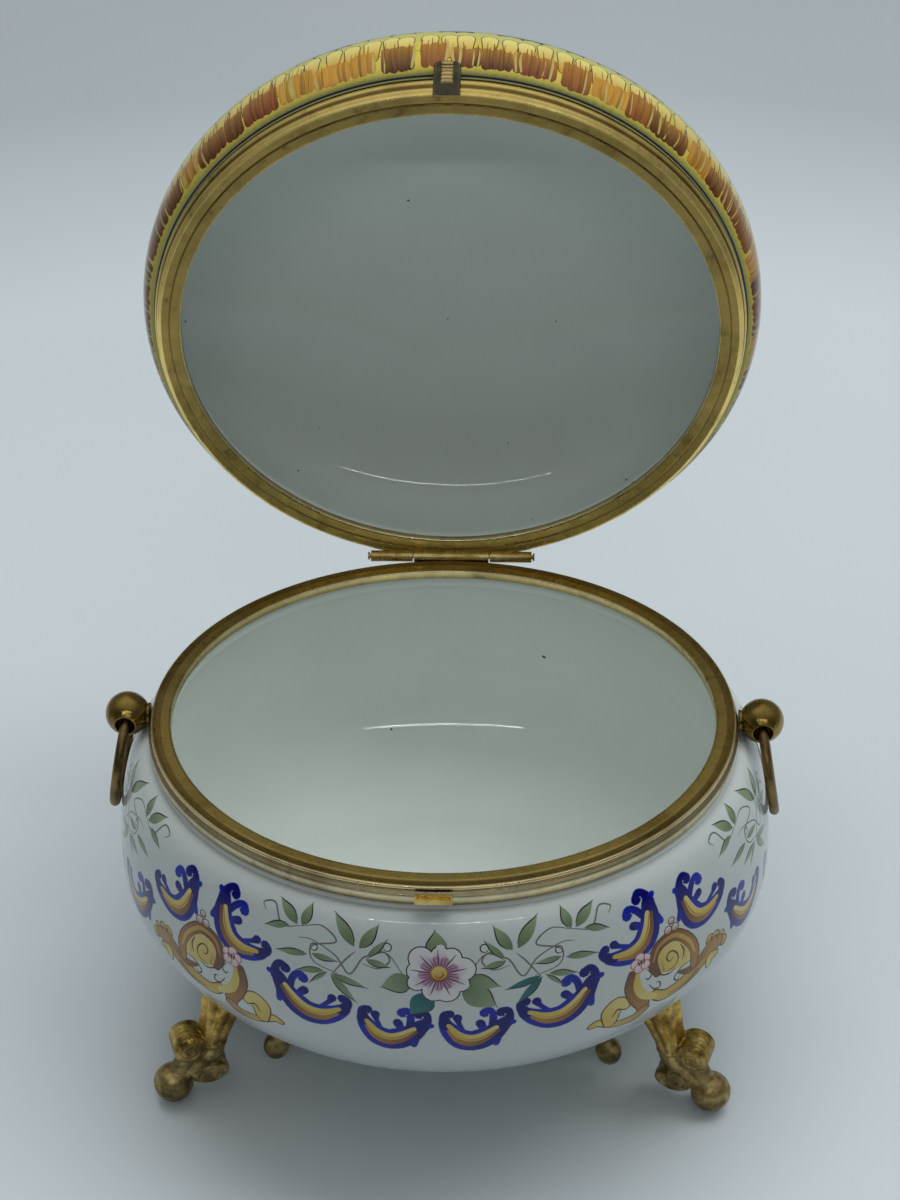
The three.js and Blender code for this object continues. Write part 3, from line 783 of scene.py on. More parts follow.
def glaze_white(tree):
    """Cloudy white, painted lighter as painted light, with a few dark specks."""
    ground = ramp(tree, noise(tree, 60, 3), [(0.3, lit_inner_white * 0.96), (0.7, lit_inner_white)])
    speck = spread(tree, noise(tree, 430, 1, 0.3), 0, 1, 0.822, 0.83)
    return mix(tree, speck, ground, paint(92, 84, 74))


def glaze(name, colour):
    """Glossy porcelain over a colour."""
    material, tree, shader = new_material(name)
    tree.links.new(colour(tree), shader.inputs["Base Color"])
    set_inputs(shader, Roughness=0.05, IOR=1.34, Coat_Weight=0.1, Coat_Roughness=0.03)
    return material


def finish_metal(tree, shader, colour, polish, polish_scale, grain_scale, grain):
    """Gives a metal its colour, an uneven polish and a fine grain."""
    tree.links.new(colour, shader.inputs["Base Color"])
    set_inputs(shader, Metallic=1.0)
    rough = spread(tree, noise(tree, polish_scale, 5, 0.6), *polish)
    tree.links.new(rough, shader.inputs["Roughness"])
    bump = tree.nodes.new("ShaderNodeBump")
    set_inputs(bump, Distance=grain)
    tree.links.new(noise(tree, grain_scale, 4, 0.6), bump.inputs["Height"])
    tree.links.new(bump.outputs["Normal"], shader.inputs["Normal"])


def brass(name, dark, mid, bright, polish, wear=0.5):
    """Gilt brass with toned patches and fine scuffs."""
    material, tree, shader = new_material(name)
    tone = ramp(tree, noise(tree, 130, 6, 0.62), [(0.34, dark), (0.5, mid), (0.66, bright)])
    grime = spread(tree, noise(tree, 420, 4, 0.6), 0, wear, 0.56, 0.72)
    finish_metal(tree, shader, mix(tree, grime, tone, dark * 0.45), polish, 260, 700, 0.00005)
    return material


def toned_brass(name):
    """Brass whose tone comes from the piece, with dark patches and fine wear."""
    material, tree, shader = new_material(name)
    patches = ramp(tree, noise(tree, 70, 6, 0.6),
                   [(0.34, (0.74, 0.7, 0.64)), (0.5, (1, 1, 1)), (0.66, (1.14, 1.1, 1.02))])
    toned = mix(tree, 1.0, piece_colour(tree, "tone"), patches, "MULTIPLY")
    streaks = spread(tree, noise(tree, 260, 5, 0.65), 0, 0.5, 0.58, 0.72)
    finish_metal(tree, shader, mix(tree, streaks, toned, paint(70, 54, 34)), (0.2, 0.42), 260, 600, 0.00004)
    return material


def cast_brass(name):
    """Dull cast brass, brown on the low scrolls and balls and yellow on the stems."""
    material, tree, shader = new_material(name)
    place = tree.nodes.new("ShaderNodeTexCoord")
    split = tree.nodes.new("ShaderNodeSeparateXYZ")
    tree.links.new(place.outputs["Object"], split.inputs["Vector"])
    high = spread(tree, split.outputs["Z"], 0, 1, 0.0125, 0.021)
    patches = noise(tree, 210, 6, 0.66)
    dull = ramp(tree, patches, [(0.36, paint(94, 82, 54)), (0.5, paint(146, 126, 82)),
                                (0.64, paint(194, 170, 114))])
    yellow = ramp(tree, patches, [(0.36, paint(128, 100, 48)), (0.5, paint(188, 152, 72)),
                                  (0.64, paint(232, 200, 118))])
    grime = spread(tree, noise(tree, 520, 5, 0.65), 0, 0.7, 0.54, 0.68)
    worn = mix(tree, grime, mix(tree, high, dull, yellow), paint(80, 66, 42))
    finish_metal(tree, shader, worn, (0.3, 0.5), 330, 650, 0.00009)
    return material


ring_gilt = toned_brass("ring_gilt")
bowl_paint = glaze("painted_porcelain", glaze_painting)
plain_glaze = glaze("white_porcelain", glaze_white)
lid_paint = glaze("painted_lid_porcelain", glaze_painting)
bright_gilt = brass("bright_gilt", paint(112, 92, 46), paint(142, 118, 60), paint(168, 142, 80),
                    (0.14, 0.26), 0.3)
cast_gilt = cast_brass("cast_gilt")
pale_gilt = brass("pale_gilt", paint(146, 124, 68), paint(192, 166, 96), paint(222, 200, 136),
                  (0.18, 0.3), 0.3)
rod_gilt = brass("rod_gilt", paint(92, 74, 48), paint(132, 108, 70), paint(170, 144, 98),
                 (0.34, 0.5), 0.6)
hinge_gilt = brass("hinge_gilt", paint(150, 126, 64), paint(198, 170, 98), paint(234, 210, 144),
                   (0.16, 0.3), 0.4)


# Bowl
def bowl_outline(steps):
    shoulder = (rim_outer + porcelain_step, -(rim_wall_height + gap + porcelain_round))
    belly = (belly_half_length, -belly_drop)
    base = (base_half_length, -bowl_depth)
    return [shoulder, *quarter(shoulder, belly, 2, steps, False),
            *quarter(belly, base, belly_fullness, steps, True)]


def wall_of(outline):
    """A surface that takes degrees from the front and millimetres down an outline."""
    rows = np.array(outline)
    along = np.concatenate([[0], np.cumsum(np.linalg.norm(np.diff(rows, axis=0), axis=1))])

    def surface(sheet):
        place = np.clip(sheet[:, 1], 0, along[-1])
        radius = np.interp(place, along, rows[:, 0])
        height = np.interp(place, along, rows[:, 1])
        return np.concatenate([oval(radius, sheet[:, 0] * DEGREE), height[:, None]], axis=1)

    return surface, along[-1]


def half_swag(surface, centre, side, swag):
    """Three blue scrolls that climb from the middle of a swag to one side."""
    shapes = []
    for step, (turn, along, tilt, length) in enumerate(swag):
        scroll = crescent(length, mirrored=side > 0 or step == 0)
        shapes += put(scroll, surface, centre + side * turn, along, side * tilt)
    return shapes


def broad_spray(surface, centre):
    """The painting of the bowl's front or back."""
    shapes = []
    for side in (-1, 1):
        swag = [(6.6, 26.6, 0.0, 12.6), (20.7, 22.8, 19.0, 15.8), (34.6, 12.4, 44.0, 14.4)]
        shapes += half_swag(surface, centre, side, swag)
        shapes += put(sprig(0, side > 0), surface, centre + 0.4, 12.6, flip=side < 0)
        shapes += put(leaf_scroll(), surface, centre + side * 42.4, 20.8, flip=side < 0)
    return shapes + put(flower(), surface, centre + 0.9, 13.4)


def end_spray(surface, centre):
    """The smaller painting on each end of the bowl."""
    shapes = []
    for side in (-1, 1):
        swag = [(8.4, 28.4, 0.0, 12.6), (25.8, 24.4, 17.0, 14.6), (39.8, 13.2, 36.0, 13.6)]
        shapes += half_swag(surface, centre, side, swag)
        shapes += put(sprig(-1.0), surface, centre, 11.8, flip=side < 0)
    return shapes + put(flower(7, 4.8), surface, centre, 13.0)


def bowl_painting(surface):
    shapes = []
    for centre in range(-180, 181, 90):
        shapes += end_spray(surface, centre) if centre % 180 else broad_spray(surface, centre)
    return shapes


def build_bowl_outside():
    surface, depth = wall_of(bowl_outline(60))
    stretch = np.array([bowl_stretch, 1.0])
    border, inner = wall_sheet(depth, stretch)

    def ground(sheet):
        return np.broadcast_to(shaded_outer_white, (len(sheet), 3))

    sheet = painted(border, inner, bowl_painting(surface), ground, stretch)
    add_painted("bowl_outside", [(surface, *sheet)], on_box, bowl_paint, "box", ["bowl"])


def build_bowl_inside():
    """The neck inside the ring, the lip, and the hollow down to the floor."""
    neck_outer, neck_inner = rim_outer - rim_metal - gap, mouth_half_length + rim_metal + gap
    lip = -(land_thickness + gap)
    widest = (belly_half_length - bowl_wall, -belly_drop)
    floor = (base_half_length - bowl_wall / 2, -(bowl_depth - bowl_wall))
    straight = (neck_inner, -(inner_lip + neck_straight))
    inside = [bowl_outline(1)[0], (neck_outer, -(rim_wall_height + gap)), (neck_outer, lip),
              (neck_inner, lip), straight, *quarter(straight, widest, 2, 24, False),
              *quarter(widest, floor, belly_fullness, 40, True), (0.01, floor[1])]
    points, faces = oval_turn(inside, closed=False)
    add_piece("bowl_inside", on_box(points), backwards(faces), plain_glaze, "box")


def build_bowl_underside():
    recess = -(bowl_depth - base_recess)
    under = [(base_half_length, -bowl_depth), (base_half_length - base_ring, -bowl_depth),
             (base_half_length - base_ring - base_recess, recess), (0.01, recess)]
    points, faces = oval_turn(rounded(under, 0.3, closed=False), closed=False)
    add_piece("bowl_underside", on_box(points), faces, plain_glaze, "box")


# Lid
def lid_wall_at(height):
    return lid_rim_outer + lid_rim_flare * height / lid_rim_height


lid_tuck = (lid_wall_at(lid_rim_height) - rim_metal - gap, lid_rim_height + gap)
lid_edge = (lid_wall_at(lid_rim_height) + porcelain_step, lid_rim_height + gap + porcelain_round)
lid_tuck_length = math.dist(lid_tuck, lid_edge)
lid_side_rise = 24.0 + lid_tuck_length


def lid_outline(steps):
    widest = (lid_half_length - facet_ease, lid_swell_height)
    return [lid_tuck, lid_edge, *quarter(lid_edge, widest, 2, steps, False),
            *quarter(widest, (0, lid_top), lid_fullness, steps, True)]


def lid_cap():
    """The lid's top as a surface over a flat sheet of half lengths."""
    rows = np.array(lid_outline(120))[121:]

    def surface(sheet):
        radius = np.hypot(sheet[:, 0], sheet[:, 1])
        turn = np.arctan2(sheet[:, 0], -sheet[:, 1])
        height = np.interp(-radius, -rows[:, 0], rows[:, 1])
        return np.concatenate([oval(radius, turn), height[:, None]], axis=1)

    return surface


def lid_scallops(surface, generator):
    """The scalloped yellow edge that laps over the green band."""
    lobes = []
    turn = -180.0
    while turn < 180.0:
        width = generator.uniform(3.2, 6.2)
        lobes.append((turn + width / 2 / lid_stretch, width, generator.uniform(0.0, 1.6)))
        turn += width / lid_stretch * 0.92
    shapes = []
    for grow, tone, other in ((0.35, paint(48, 60, 40), None), (0, lid_yellow, lid_lemon)):
        for middle, width, rise in lobes:
            scallop = stroke([(0, 10.5), (0, 15.4 + rise)], [width + grow, width + 2 * grow], tone, other, 6)
            shapes += put(moved(scallop, [1, -1]), surface, middle, 0)
    return shapes


def lid_flutes(surface, generator):
    """Yellow flutes with round heads, and a slate line of painted shadow along their feet where the porcelain
    meets the ring.
    """
    shapes = []
    flutes = 104
    foot = 0.1 - lid_tuck_length
    for k in range(flutes):
        turn = 360 * (k + generator.uniform(-0.15, 0.15)) / flutes - 180
        head = lid_tuck_length + 14.7 + generator.uniform(-0.6, 0.5)
        flute = [(0, 8.8 - head), (0, 1.7 - head)]
        width = generator.uniform(3.1, 3.5)
        shapes += put(stroke(flute, [width - 0.6, width + 0.36], paint(110, 70, 26), ink), surface, turn, 0)
        shapes += put(stroke(flute, [width - 1.1, width], lid_orange, flute_light), surface, turn, 0)
        # Painted shadow: a thin slate line at the flutes' feet, next to the ring.
        shapes += put(stroke([(-2.2, foot), (2.2, foot)], [0.45, 0.45], paint(62, 62, 92)), surface, turn, 0)
    return shapes


def streak_ground(low, high, width, tone, generator):
    """The broad dabs under a patch of streaks."""
    shapes = []
    dabs = max(3, round(width / 1.5))
    for k in range(dabs):
        across = ((k + 0.5) / dabs - 0.5) * width
        start = -low - 0.9 - generator.uniform(0.0, 0.5)
        end = generator.uniform(0.5, 1.5) - high
        dab = [(across, start), (across, end)]
        shapes += stroke(dab, [1.9, 1.7], tone, tone * 0.5 + lid_orange * 0.5)
    return shapes


def fine_streaks(low, high, width, tone, generator):
    """Thin ragged streaks side by side, a few of them light."""
    shapes = []
    count = max(4, int(width / 0.55))
    for k in range(count):
        across = (k + 0.5) / count - 0.5
        start = low + generator.uniform(0.0, 0.8)
        end = high + generator.uniform(-2.4, 3.6)
        lean = generator.uniform(-0.35, 0.35)
        streak = [(across * width * 0.94, -start - 0.3), (across * width + lean, -(start + end) / 2),
                  (across * width + lean / 2, -end)]
        widths = np.array([0.8, 1.0, 0.3]) * generator.uniform(0.25, 0.7)
        light = generator.uniform() < 0.12
        strong = flute_light * 0.6 if light else tone * generator.uniform(0.5, 1.35)
        shapes += stroke(streak, widths, strong, strong * 0.6 + lid_orange * 0.4)
    return shapes


def lid_streaks(surface, generator):
    """Broken patches of red-brown streaks over the flutes."""
    tones = [paint(130, 76, 34), paint(102, 54, 30), paint(118, 62, 36), paint(94, 54, 28),
             paint(180, 130, 50)]
    shapes = []
    turn = -180.0
    while turn < 178.0:
        tone = tones[int(generator.integers(len(tones)))]
        width = generator.uniform(4.0, 9.0)
        low = lid_tuck_length + generator.uniform(1.0, 1.6)
        high = low + generator.uniform(6.5, 9.0)
        patch = streak_ground(low, high, width, tone, generator)
        patch += fine_streaks(low, high, width, tone, generator)
        shapes += put(patch, surface, turn + width / 2 / lid_stretch, 0)
        turn += (width + generator.uniform(0.5, 2.2)) / lid_stretch
    return shapes


def lid_ground(sheet):
    """Lemon at the foot of the lid's side, then yellow, then green."""
    up = sheet[:, 1:2] - lid_tuck_length
    tone = np.where(up < 1.0, lid_lemon, lid_yellow)
    return np.where(up > 13.0, lid_green, tone)


def lid_top_sheet(edge):
    """The unseen top: a green border, then a white field with a flower spray."""
    turns = np.linspace(0, 2 * math.pi, 180, endpoint=False)
    border = [(edge * math.cos(t), edge * math.sin(t)) for t in turns]
    inner = []
    step = 2.2
    for row in range(-30, 31):
        for column in range(-30, 31):
            x, y = (column + 0.5 * (row % 2)) * step, row * step * 0.87
            if math.hypot(x, y) < edge - 0.8:
                inner.append((x, y))
    shapes = blob(0, 0, edge - 5.0, cobalt, count=120) + blob(0, 0, edge - 5.6, shaded_outer_white, count=120)
    shapes += flower(9, 8.0)
    for side in (-1, 1):
        shapes += moved(sprig(0, side > 0), [side, 1])

    def ground(sheet):
        return np.broadcast_to(lid_green, (len(sheet), 3))

    return painted(border, inner, shapes, ground, np.array([1.0, 1.0]))


def build_lid_outside():
    generator = np.random.default_rng(11)
    surface, _ = wall_of(lid_outline(120))
    stretch = np.array([lid_stretch, 1.0])
    border, inner = wall_sheet(lid_side_rise, stretch)
    shapes = lid_scallops(surface, generator)
    shapes += lid_flutes(surface, generator)
    shapes += lid_streaks(surface, generator)
    edge = surface(np.array([[90.0, lid_side_rise]]))[0][0]
    side_part = (surface, *painted(border, inner, shapes, lid_ground, stretch))
    top_part = (lid_cap(), *lid_top_sheet(edge))
    add_painted("lid_outside", [side_part, top_part], on_lid, lid_paint, "lid", ["lid"])


def build_lid_inside():
    lip = land_thickness + gap
    inner_radius = lid_inner + rim_metal + gap
    widest = (lid_half_length - lid_wall, lid_swell_height)
    straight = (inner_radius, inner_lip + neck_straight)
    inside = [lid_tuck, (lid_wall_at(lip) - rim_metal - gap, lip), (inner_radius, lip), straight,
              *quarter(straight, widest, 2, 16, False),
              *quarter(widest, (0.01, lid_top - lid_wall), lid_fullness, 48, True)]
    points, faces = oval_turn(inside, closed=False)
    add_piece("lid_inside", on_lid(points), faces, plain_glaze, "lid")


# Rims
def add_toned_ring(name, profile, place, body, node, inward):
    """A turned ring whose brass takes its tone from the part of the outline it is on."""
    outline, tones = zip(*profile)
    points, faces = oval_turn(rounded(outline, 0.2), ring_steps)
    faces = backwards(faces) if inward else faces
    ring = add_piece(name, place(points), faces, ring_gilt, body, [node])
    one_turn = np.repeat(np.array(tones), corner_steps, axis=0)
    add_colours(ring, "tone", "POINT", np.tile(one_turn, (ring_steps, 1)))


def build_bowl_ring():
    # Painted light on the ring: lip is a painted highlight along its edges, and shaded is painted shade on
    # the upper wall.
    olive, bronze, lip = paint(164, 142, 80), paint(138, 116, 66), paint(232, 212, 164)
    shaded, silver, warm = paint(168, 156, 124), paint(208, 198, 166), paint(198, 180, 132)
    middle = mouth_half_length + land_width * 0.5
    profile = [
        ((mouth_half_length, -0.2), lip), ((mouth_half_length + 0.4, 0), olive), ((middle, -0.02), olive),
        ((mouth_half_length + land_width * 0.56, -0.18), bronze), ((rim_outer - 1.0, -0.12), bronze),
        ((rim_outer - 0.6, 0), bronze), ((rim_outer - 0.15, -0.15), lip), ((rim_outer, -rim_metal), lip),
        ((rim_outer - 0.35, -rim_metal - 0.4), bronze), ((rim_outer - 0.3, -rim_metal - 0.8), shaded),
        ((rim_belly - 0.05, -rim_wall_height * 0.42), shaded), ((rim_belly, -rim_wall_height * 0.6), silver),
        ((rim_belly - 0.1, -rim_wall_height * 0.8), warm), ((rim_outer, -rim_wall_height), bronze),
        ((rim_outer - rim_metal, -rim_wall_height), channel_shade_brown),
        ((rim_outer - rim_metal, -land_thickness), channel_shade_brown),
        ((mouth_half_length + rim_metal, -land_thickness), channel_shade_brown),
        ((mouth_half_length + rim_metal, -inner_lip), channel_shade_brown), ((mouth_half_length, -inner_lip), olive),
    ]
    add_toned_ring("bowl_ring", profile, on_box, "box", "bowl_rim", True)


def build_lid_ring():
    # Painted light on the ring: lip is a painted highlight on the inner edge, and gold on the beads is gilt
    # lifted to painted highlights.
    olive, lip, gold = paint(164, 142, 80), paint(232, 212, 164), paint(240, 212, 128)
    gilt, line = paint(166, 142, 82), paint(126, 102, 54)
    wall = []
    for share, out, tone in (
            (0.08, 0.1, gold), (0.2, rim_bead, gold), (0.32, 0.42, gold), (0.42, 0.05, line),
            (0.5, 0.1, line), (0.62, rim_bead, gold), (0.76, 0.42, gold), (0.88, 0.0, channel_shade_brown),
            (1.0, 0.0, channel_shade_brown)):
        wall.append(((lid_wall_at(lid_rim_height * share) + out, lid_rim_height * share), tone))
    profile = [
        ((lid_inner, 0.2), lip), ((lid_inner + 0.4, 0), gilt), ((lid_inner + land_width * 0.5, 0.02), gilt),
        ((lid_inner + land_width * 0.56, 0.14), line), ((lid_inner + land_width * 0.66, 0.1), gilt),
        ((lid_rim_outer - 0.4, 0.06), gilt), ((lid_rim_outer, 0), gold), *wall,
        ((lid_wall_at(lid_rim_height) - rim_metal, lid_rim_height), channel_shade_brown),
        ((lid_wall_at(land_thickness) - rim_metal, land_thickness), channel_shade_brown),
        ((lid_inner + rim_metal, land_thickness), channel_shade_brown),
        ((lid_inner + rim_metal, inner_lip), channel_shade_brown), ((lid_inner, inner_lip), olive),
    ]
    add_toned_ring("lid_ring", profile, on_lid, "lid", "lid_rim", False)


# Knobs and drop rings
def knob_ball():
    """The drilled ball with a raised rim round each end of its hole."""
    reach = math.sqrt(knob_radius ** 2 - (knob_hole + 0.55) ** 2)
    rim = [(-reach - 0.18, knob_hole), (-reach - 0.3, knob_hole + 0.3), (-reach - 0.12, knob_hole + 0.62)]
    turns = np.linspace(math.pi - math.asin((knob_hole + 0.75) / knob_radius), math.pi / 2, 14)
    half = rim + [(knob_radius * math.cos(t), knob_radius * math.sin(t)) for t in turns]
    outline = half + [(-x, radius) for x, radius in half[-2::-1]]
    points, faces = turned_about_x(outline, 64, closed=True)
    return points[:, [1, 0, 2]], backwards(faces)


def knob_neck():
    """The waisted neck between the ring and the ball."""
    start = rim_belly + 0.05 - knob_x
    outline = [(start + along, collar_radius * share) for along, share in (
        (0, 0), (0, 1.04), (0.5, 1), (1.0, 0.9), (1.6, 0.88), (2.3, 1.04), (2.8, 0))]
    return turned_about_x(rounded(outline, 0.2, closed=False))


def build_knob(side):
    end = "right" if side > 0 else "left"
    points, faces = merged([knob_ball(), knob_neck()])
    faces = faces if side > 0 else backwards(faces)
    centre = rim_centre + np.array([side * knob_x, 0, -knob_drop])
    placed = (points * [side, 1, 1] + centre) * MM
    knob = add_piece(f"ball_knob_{end}", placed, faces, bright_gilt, "box", [f"knob_{end}"])
    knob.data.validate()


def build_drop_ring(side):
    """The drop ring in the place of its solid."""
    end = "right" if side > 0 else "left"
    around = np.linspace(0, 2 * math.pi, 20, endpoint=False)
    rod = [(ring_rod * math.sin(t), ring_radius + ring_rod * math.cos(t)) for t in around]
    points, faces = turned_about_x(rod, 96, closed=True)
    low, high = (np.array(corner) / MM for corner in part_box(f"ring_{end}"))
    centre = (low + high) / 2 - [side * facet_ease, 0, 0]
    lean = math.atan2(abs(centre[0]) - knob_x, rim_centre[2] - knob_drop - centre[2])
    placed = (points @ leaning(side * lean) + centre) * MM
    node = f"ring_{end}"
    add_piece(f"drop_ring_{end}", placed, flipped(faces), rod_gilt, node, [node])


# Feet
def under_bowl(points):
    """Points given from the rim's middle, kept below the bowl's underside."""
    lower = np.array(bowl_outline(60)[60:])
    low, high = np.full(len(points), 20.0), np.full(len(points), 90.0)
    for _ in range(30):
        radius = (low + high) / 2
        shift = oval_shift * np.minimum(1, radius / base_half_length)
        outside = (points[:, 0] / radius) ** 2 + (points[:, 1] / (radius - shift)) ** 2 > 1
        low, high = np.where(outside, radius, low), np.where(outside, high, radius)
    ceiling = np.interp(-low, -lower[:, 0], lower[:, 1], right=-bowl_depth) - gap
    beneath = low < belly_half_length + gap
    lowered = points.copy()
    lowered[:, 2] = np.where(beneath, np.minimum(points[:, 2], ceiling), points[:, 2])
    return lowered


def tube(line, radii, flat=1.0):
    """A round bar along a line in the x and z plane, its y size multiplied by flat."""
    line = curve(line, bar_rows)
    radius = np.interp(np.linspace(0, 1, bar_rows), np.linspace(0, 1, len(radii)), radii)
    points = []
    for (x, z), (dx, dz), r in zip(line, unit(np.gradient(line, axis=0)), radius):
        for turn in np.linspace(0, 2 * math.pi, bar_sides, endpoint=False):
            out = r * math.cos(turn)
            points.append((x - dz * out, r * flat * math.sin(turn), z + dx * out))
    ends = [tuple(range(bar_sides))[::-1], tuple(range((bar_rows - 1) * bar_sides, bar_rows * bar_sides))]
    return np.array(points), grid_faces(bar_rows, bar_sides, rows_close=False) + ends


def ridged_roll(radius, stretch, x, z, ridges):
    """A roll lying across the foot, with rounded ridges round it."""
    half = foot_width / 2
    outline = [(0.01, -half)]
    for along in np.linspace(-half, half, 12 * ridges + 1):
        edge = min(1, (half - abs(along)) / 0.5)
        wave = abs(math.sin(ridges * math.pi * (along + half) / (2 * half)))
        outline.append((radius * (0.95 + 0.05 * wave) - 0.4 * (1 - edge) ** 2, along))
    outline.append((0.01, half))
    points, faces = turned_about_z(outline, 40)
    points = np.stack([points[:, 0] * stretch + x, points[:, 2], points[:, 1] + z], axis=1)
    return points, backwards(faces)


def end_scroll(radius, stretch, x, z, side):
    """A raised spiral on the end of a roll."""
    turns = np.linspace(0, 2.4 * 2 * math.pi, 40)
    reach = radius * (0.12 + 0.74 * turns / turns[-1])
    line = np.stack([x + stretch * reach * np.cos(turns), z + reach * np.sin(turns)], axis=1)
    points, faces = tube(line[::2], [0.3, 0.42, 0.46, 0.4])
    points[:, 1] += side * (foot_width / 2 - 0.05)
    return points, faces


def foot_ball_form():
    turns = np.linspace(0.01, math.pi - 0.01, 24)
    points, faces = turned_about_z([(foot_ball * math.sin(t), -foot_ball * math.cos(t)) for t in turns])
    return [(points + [0, 0, foot_ball - foot_flat], faces)]


def foot_stem():
    """The ribbed stem and its collar, leaning towards the bowl."""
    length = stand_height - neck_height - belly_drop
    outline = [(0.01, 0)]
    for t in np.linspace(0, 1, 18):
        outline.append((neck_radius + 0.15 + (stem_top_radius - neck_radius) * t ** 1.35, length * t))
    outline.append((0.01, length))
    collar = [(0.01, -0.75), (neck_radius + 0.2, -0.7), (neck_radius + 0.65, -0.2),
              (neck_radius + 0.65, 0.25), (neck_radius + 0.1, 0.75), (0.01, 0.8)]
    return [(points @ leaning(stem_lean) + [-neck_in, 0, neck_height], faces)
            for points, faces in (turned_about_z(outline, 108, stem_ribs, 0.09), turned_about_z(collar))]


def foot_rolls():
    """The outer and the inner roll, with a scroll on each end."""
    outer = (1, -outer_roll_in, outer_roll_height)
    inner = (inner_roll_stretch, -inner_roll_in, inner_roll_height)
    parts = [ridged_roll(outer_roll_radius + 0.2, *outer, 6), ridged_roll(inner_roll_radius, *inner, 2)]
    for end in (-1, 1):
        parts.append(end_scroll(outer_roll_radius, *outer, end))
        parts.append(end_scroll(inner_roll_radius, *inner, end))
    return parts


def foot_arms():
    """The bars that join the neck, the rolls and the ball."""
    return [
        tube([(-neck_in, neck_height), (-neck_in + 0.6, 12.4), (-6.4, 9.8), (-4.2, 7.6), (-1.4, 5.4)],
             [2.9, 3.4, 3.3, 2.7, 2.0], 0.95),
        tube([(-outer_roll_in - 0.6, outer_roll_height - 0.8), (-6.6, 11.4),
              (-inner_roll_in, inner_roll_height)], [2.7, 2.9, 2.5], 1.02),
        tube([(-neck_in + 0.4, 14.0), (-5.4, 13.4), (-2.6, 9.4), (-0.6, 6.4)], [2.6, 2.7, 2.2, 1.8], 1.05),
    ]


def foot_tail():
    """The thin arm behind the neck and the drop-shaped end that it carries."""
    inward = [foot_out - 14 * math.cos(foot_turn), 14 * math.sin(foot_turn) - foot_forward, 0.0]
    top = under_bowl(np.array([inward]))[0][2] + stand_height - 1.2
    arm = tube([(-neck_in - 2.4, top - 1.0), (-14.5, top - 0.4), (-18.5, top - 2.4), (-21.6, top - 4.6),
                (-paddle_in, paddle_height + 4.6), (-paddle_in, paddle_height + 1)],
               [2.2, 1.7, 1.5, 1.3, 1.1, 1.4], 1.1)
    turns = np.linspace(0.01, math.pi - 0.01, 20)
    points, faces = turned_about_z([(math.sin(t), -math.cos(t)) for t in turns], 32)
    size = [paddle_half_width, arm_width * 0.62, paddle_half_height]
    return [arm, (points * size + [-paddle_in, 0, paddle_height], faces)]


def foot_casting():
    """The foot's forms melted into one: points from the ball's foot, x outwards, and faces."""
    parts = foot_ball_form() + foot_stem() + foot_rolls() + foot_arms() + foot_tail()
    casting = new_object("casting", *merged(parts))
    whole = casting.modifiers.new("whole", "REMESH")
    whole.mode = "VOXEL"
    whole.voxel_size = foot_voxel
    soften = casting.modifiers.new("soften", "SMOOTH")
    soften.factor = 0.5
    soften.iterations = 3
    shown = casting.evaluated_get(bpy.context.evaluated_depsgraph_get())
    mesh = bpy.data.meshes.new_from_object(shown)
    points = np.array([vertex.co[:] for vertex in mesh.vertices])
    faces = [tuple(polygon.vertices) for polygon in mesh.polygons]
    bpy.data.objects.remove(casting)
    points[:, 2] = np.maximum(points[:, 2], 0)
    return points, faces


def build_feet():
    points, faces = foot_casting()
    cosine, sine = math.cos(foot_turn), math.sin(foot_turn)
    turned = points @ np.array([[cosine, -sine, 0], [sine, cosine, 0], [0, 0, 1]])
    placed = under_bowl(turned + [foot_out, -foot_forward, -stand_height])
    for side, across in (("left", -1), ("right", 1)):
        for end, along in (("front", 1), ("back", -1)):
            shown = faces if across * along > 0 else backwards(faces)
            add_piece(f"cast_foot_{end}_{side}", on_box(placed * [across, along, 1]), shown, cast_gilt, "box",
                      [f"foot_{end}_{side}"])


# Clasp
def clasp_path():
    """The clasp's back from below the ring up to its tip, and the way it runs."""
    rows = np.array(lid_outline(40))[1:41]
    tip = np.interp(clasp_rise, rows[:, 1], rows[:, 0]) + gap
    near = lid_rim_outer + rim_bead + gap
    at_top = lid_wall_at(lid_rim_height) + rim_bead + gap
    path = curve([(near, -clasp_below), ((near + at_top) / 2, lid_rim_height / 2 - clasp_below / 2),
                  (at_top, lid_rim_height), (tip, clasp_rise)], clasp_rows)
    return path, unit(np.gradient(path, axis=0))


def clasp_row(place, along, reach, t):
    """A ring of points round the plate at one height, front first, with their tones."""
    dark, edge_tone, bright = paint(92, 86, 70), paint(128, 118, 92), paint(236, 208, 138)
    (r, z), (dr, dz) = place, along
    grip = np.clip((t - 0.26) / 0.06, 0, 1)
    ridge = abs(math.sin(6 * math.pi * (t - 0.26) / 0.74)) if t > 0.26 else 0
    across = np.linspace(-1, 1, clasp_columns)
    points, tones = [], []
    for u in across:
        raised = grip * max(0.0, 1 - (abs(u * reach) / (clasp_grip_width / 2)) ** 8)
        lift = clasp_plate * (1 - 0.35 * abs(u) ** 12) + clasp_grip * raised * (0.35 + 0.65 * ridge)
        points.append((u * reach, -(r + dz * lift - oval_shift), z - dr * lift))
        # The grip is gilt, and its tone brightens on the ridge crests as a painted highlight.
        grip_gilt_and_highlight = raised * (0.25 + 0.75 * ridge)
        tones.append(bright * grip_gilt_and_highlight + (edge_tone if abs(u) > 0.86 else dark) * (1 - grip_gilt_and_highlight))
    for u in across[::-1]:
        points.append((u * reach, -(r - oval_shift), z))
        tones.append(dark)
    return points, tones


